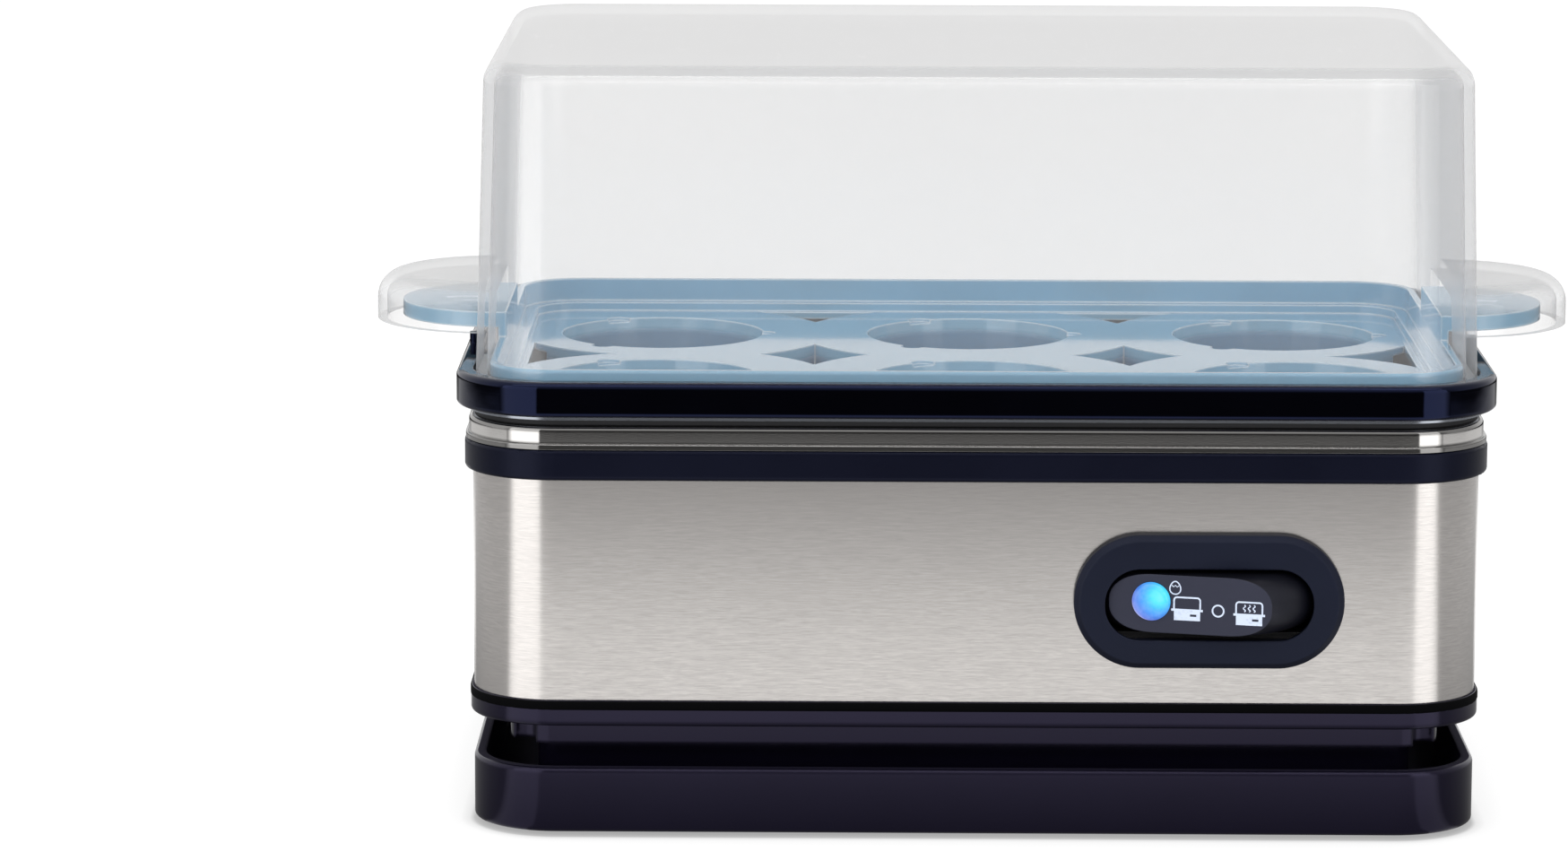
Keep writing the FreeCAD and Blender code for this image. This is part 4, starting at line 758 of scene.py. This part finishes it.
# How bright the table looks, and its share of that by distance from the plinth, up to SHADE_REACH:
# a contact shadow painted into its glow.
TABLE_GLOW = 0.87
SHADE_REACH = 8 * MM
CONTACT_SHADE = [(0.0, 0.45), (0.12, 0.78), (0.35, 0.93), (1.0, 1.0)]

# How bright the object mirrors the table, dim close by as a painted shadow: pairs of metres from
# the rim and brightness, ahead of the object and beside it.
TABLE_REACH = 0.6
TABLE_LIGHT = [
    (0.0, 0.30), (0.035, 0.60), (0.075, 1.10), (0.135, 1.36), (0.21, 1.16), (0.29, 0.50),
    (0.38, 0.24), (0.45, 0.02),
]
SIDE_LIGHT = [(0.0, 0.20), (0.10, 0.40), (0.25, 0.62), (0.44, 0.62), (0.50, 0.03)]

# Painted light: bright strips of table off the front corners, dimmer within PANEL_NEAR. Each panel
# and each side lies between two headings, in degrees from straight ahead, with soft edges.
PANEL_LIGHT = 1.5
PANEL_NEAR = 0.12
PANEL_NEAR_SHARE = 0.35
PANEL_LEFT = (22, 62)
PANEL_RIGHT = (28, 56)
SIDE_LEFT = (66, 150)
SIDE_RIGHT = (60, 150)
SOFT_START = 1
SOFT_END = 4


def sector(look, side, start, end):
    """1 between two headings about the left (-1) or right (1) front corner's axis."""
    ahead = look.split(look.place((side, -1, 0), (side * CORNER_X, -CORNER_Y, 0)))
    heading = look.maths("ARCTAN2", ahead["X"], ahead["Y"])
    opening = (math.radians(start - SOFT_START), math.radians(start + SOFT_START))
    closing = (math.radians(end - SOFT_END), math.radians(end + SOFT_END))
    rise = look.remap(heading, *opening, 0, 1)
    return look.maths("MULTIPLY", rise, look.remap(heading, *closing, 1, 0))


def table_light(look, away, stops):
    """Grey by distance from the object."""
    scaled = [(metres / TABLE_REACH, level) for metres, level in stops]
    return look.grey_ramp(look.remap(away, 0, TABLE_REACH, 0, 1), scaled)


def distance_from(look, half_x, half_y, corner=0.0):
    """Metres along the table from a rectangle about its middle, with rounded corners."""
    mirrored = look.vector("ABSOLUTE", look.place())
    past = look.vector("SUBTRACT", mirrored, (half_x - corner, half_y - corner, 0))
    length = look.vector("LENGTH", look.vector("MAXIMUM", past), output="Value")
    return look.maths("SUBTRACT", length, corner)


def mirrored_table(look):
    """What the object mirrors of the table: dim close by as a painted shadow, bright around, and dark
    far off.
    """
    away = distance_from(look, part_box("top_rim")[1].x, -cad_box[0].y)
    # Painted shadow close to the object, and painted strips of light off its front corners.
    ahead = table_light(look, away, TABLE_LIGHT)
    near = look.remap(away, 0, PANEL_NEAR, PANEL_NEAR_SHARE, 1)
    panels = look.maths("ADD", sector(look, -1, *PANEL_LEFT), sector(look, 1, *PANEL_RIGHT))
    panels = look.maths("MULTIPLY", panels, near)
    sides = look.maths("ADD", sector(look, -1, *SIDE_LEFT), sector(look, 1, *SIDE_RIGHT))
    table = look.blend(sides, ahead, table_light(look, away, SIDE_LIGHT))
    return look.add("ShaderNodeEmission", {"Color": look.blend(panels, table, grey(PANEL_LIGHT))})


def make_floor():
    """A pale table, with a contact shadow painted into its glow where the plinth stands on it."""
    corners = [
        (-FLOOR_SIDE, FLOOR_FRONT), (FLOOR_SIDE, FLOOR_FRONT), (FLOOR_SIDE, FLOOR_BACK),
        (-FLOOR_SIDE, FLOOR_BACK),
    ]
    mesh = bpy.data.meshes.new("floor")
    mesh.from_pydata([(x, y, 0) for x, y in corners], [], [(0, 1, 2, 3)])
    look = Finish("floor", Base_Color=grey(0.20), Roughness=0.8, Specular_IOR_Level=0.0)
    look.set("Emission Color", grey(1.0))
    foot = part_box("plinth")[1]
    near_foot = look.remap(distance_from(look, foot.x, foot.y, SHELL_CORNER), 0, SHADE_REACH, 0, 1)
    # Painted shadow: the glow dims near the plinth.
    shade = look.grey_ramp(near_foot, CONTACT_SHADE)
    look.set("Emission Strength", look.maths("MULTIPLY", shade, TABLE_GLOW))
    seen = look.add("ShaderNodeLightPath").outputs["Is Camera Ray"]
    both = look.mix_shaders(seen, mirrored_table(look), look.shader)
    look.feed(look.output, "Surface", both.outputs[0])
    mesh.materials.append(look.material)
    floor = put_in_scene("floor", mesh)


# --- the room, the lamps and the camera ------------------------------------------------------
# The room in front of the object: brightness from straight down at 0 to straight up at 1.
ROOM_FRONT = [(0.0, 0.02), (0.49, 0.03), (0.55, 0.10), (0.66, 0.45), (0.8, 0.9), (1.0, 1.0)]
ROOM_LEFT = 0.95
ROOM_RIGHT = 0.62
ROOM_BACK = 0.95


def make_world():
    """White all round to the eye; to the object, a bright room that is dark low in front."""
    world = bpy.data.worlds.new("studio")
    world.use_nodes = True
    bpy.context.scene.world = world
    look = Nodes(world.node_tree)
    ahead = look.split(look.add("ShaderNodeTexCoord").outputs["Generated"])
    front = look.grey_ramp(look.remap(ahead["Z"], -1, 1, 0, 1), ROOM_FRONT)
    to_right = look.remap(ahead["X"], -0.7, 0.7, 0, 1)
    side = look.blend(to_right, grey(ROOM_LEFT), grey(ROOM_RIGHT))
    back = look.blend(look.remap(ahead["Y"], 0.3, 0.7, 0, 1), side, grey(ROOM_BACK))
    room = look.blend(look.remap(ahead["Y"], -0.62, -0.30, 0, 1), front, back)
    seen = look.add("ShaderNodeLightPath").outputs["Is Camera Ray"]
    background = world.node_tree.nodes["Background"]
    look.feed(background, "Color", look.blend(seen, room, grey(1.0)))


def softbox(name, centre, target, wide, tall, radiance):
    """A rectangular lamp of even brightness that faces a point."""
    data = bpy.data.lights.new(name, "AREA")
    data.shape = "RECTANGLE"
    data.size = wide
    data.size_y = tall
    data.energy = radiance * math.pi * wide * tall
    lamp = put_in_scene(name, data)
    ahead = (Vector(target) - Vector(centre)).normalized()
    turn = ahead.to_track_quat("-Z", "Y").to_matrix().to_4x4()
    lamp.matrix_world = Matrix.Translation(centre) @ turn
    lamp.visible_camera = False
    return lamp


def make_lights():
    """A box at each side, one above, a strip that only mirrors, and a fill that only lights."""
    for name, side, wide in (("left_box", -1, 0.66), ("right_box", 1, 0.45)):
        softbox(name, (side * 0.68, -0.72, 0.08), (side * 0.08, -0.05, 0.08), wide, 1.0, 1.5)
    softbox("top_box", (0, 0.1, 1.4), (0, 0, 0), wide=1.6, tall=1.4, radiance=0.45)
    strip = softbox("strip_light", (0, -0.55, 1.1), (0, 0, 0.1), wide=2.0, tall=0.10, radiance=5.0)
    strip.visible_diffuse = False
    fill = softbox("fill_box", (0, -1.8, 1.0), (0, 0, 0.08), wide=2.6, tall=1.8, radiance=1.5)
    fill.visible_glossy = False


# The camera's place, and its turns in radians: right of straight ahead, down, and over.
CAMERA_AT = (-0.02534, -1.15125, 0.26225)
CAMERA_YAW = -0.0095
CAMERA_PITCH = 0.168
CAMERA_ROLL = -0.0028
SENSOR = 36.0
LENS = 137.506


def make_camera():
    level = Vector((math.cos(CAMERA_YAW), -math.sin(CAMERA_YAW), 0))
    flat_ahead = Vector((math.sin(CAMERA_YAW), math.cos(CAMERA_YAW), 0))
    ahead = flat_ahead * math.cos(CAMERA_PITCH) - Vector((0, 0, math.sin(CAMERA_PITCH)))
    down = ahead.cross(level)
    right = math.cos(CAMERA_ROLL) * level + math.sin(CAMERA_ROLL) * down
    below = -math.sin(CAMERA_ROLL) * level + math.cos(CAMERA_ROLL) * down
    data = bpy.data.cameras.new("camera")
    data.sensor_width = SENSOR
    data.lens = LENS
    camera = put_in_scene("camera", data)
    axes = Matrix((right, -below, -ahead)).transposed().to_4x4()
    camera.matrix_world = Matrix.Translation(CAMERA_AT) @ axes
    bpy.context.scene.camera = camera


make_camera()
make_world()
make_lights()
make_floor()
finish_nodes()
make_shadow_ring()
make_signs()
bpy.context.scene.view_settings.view_transform = "Standard"
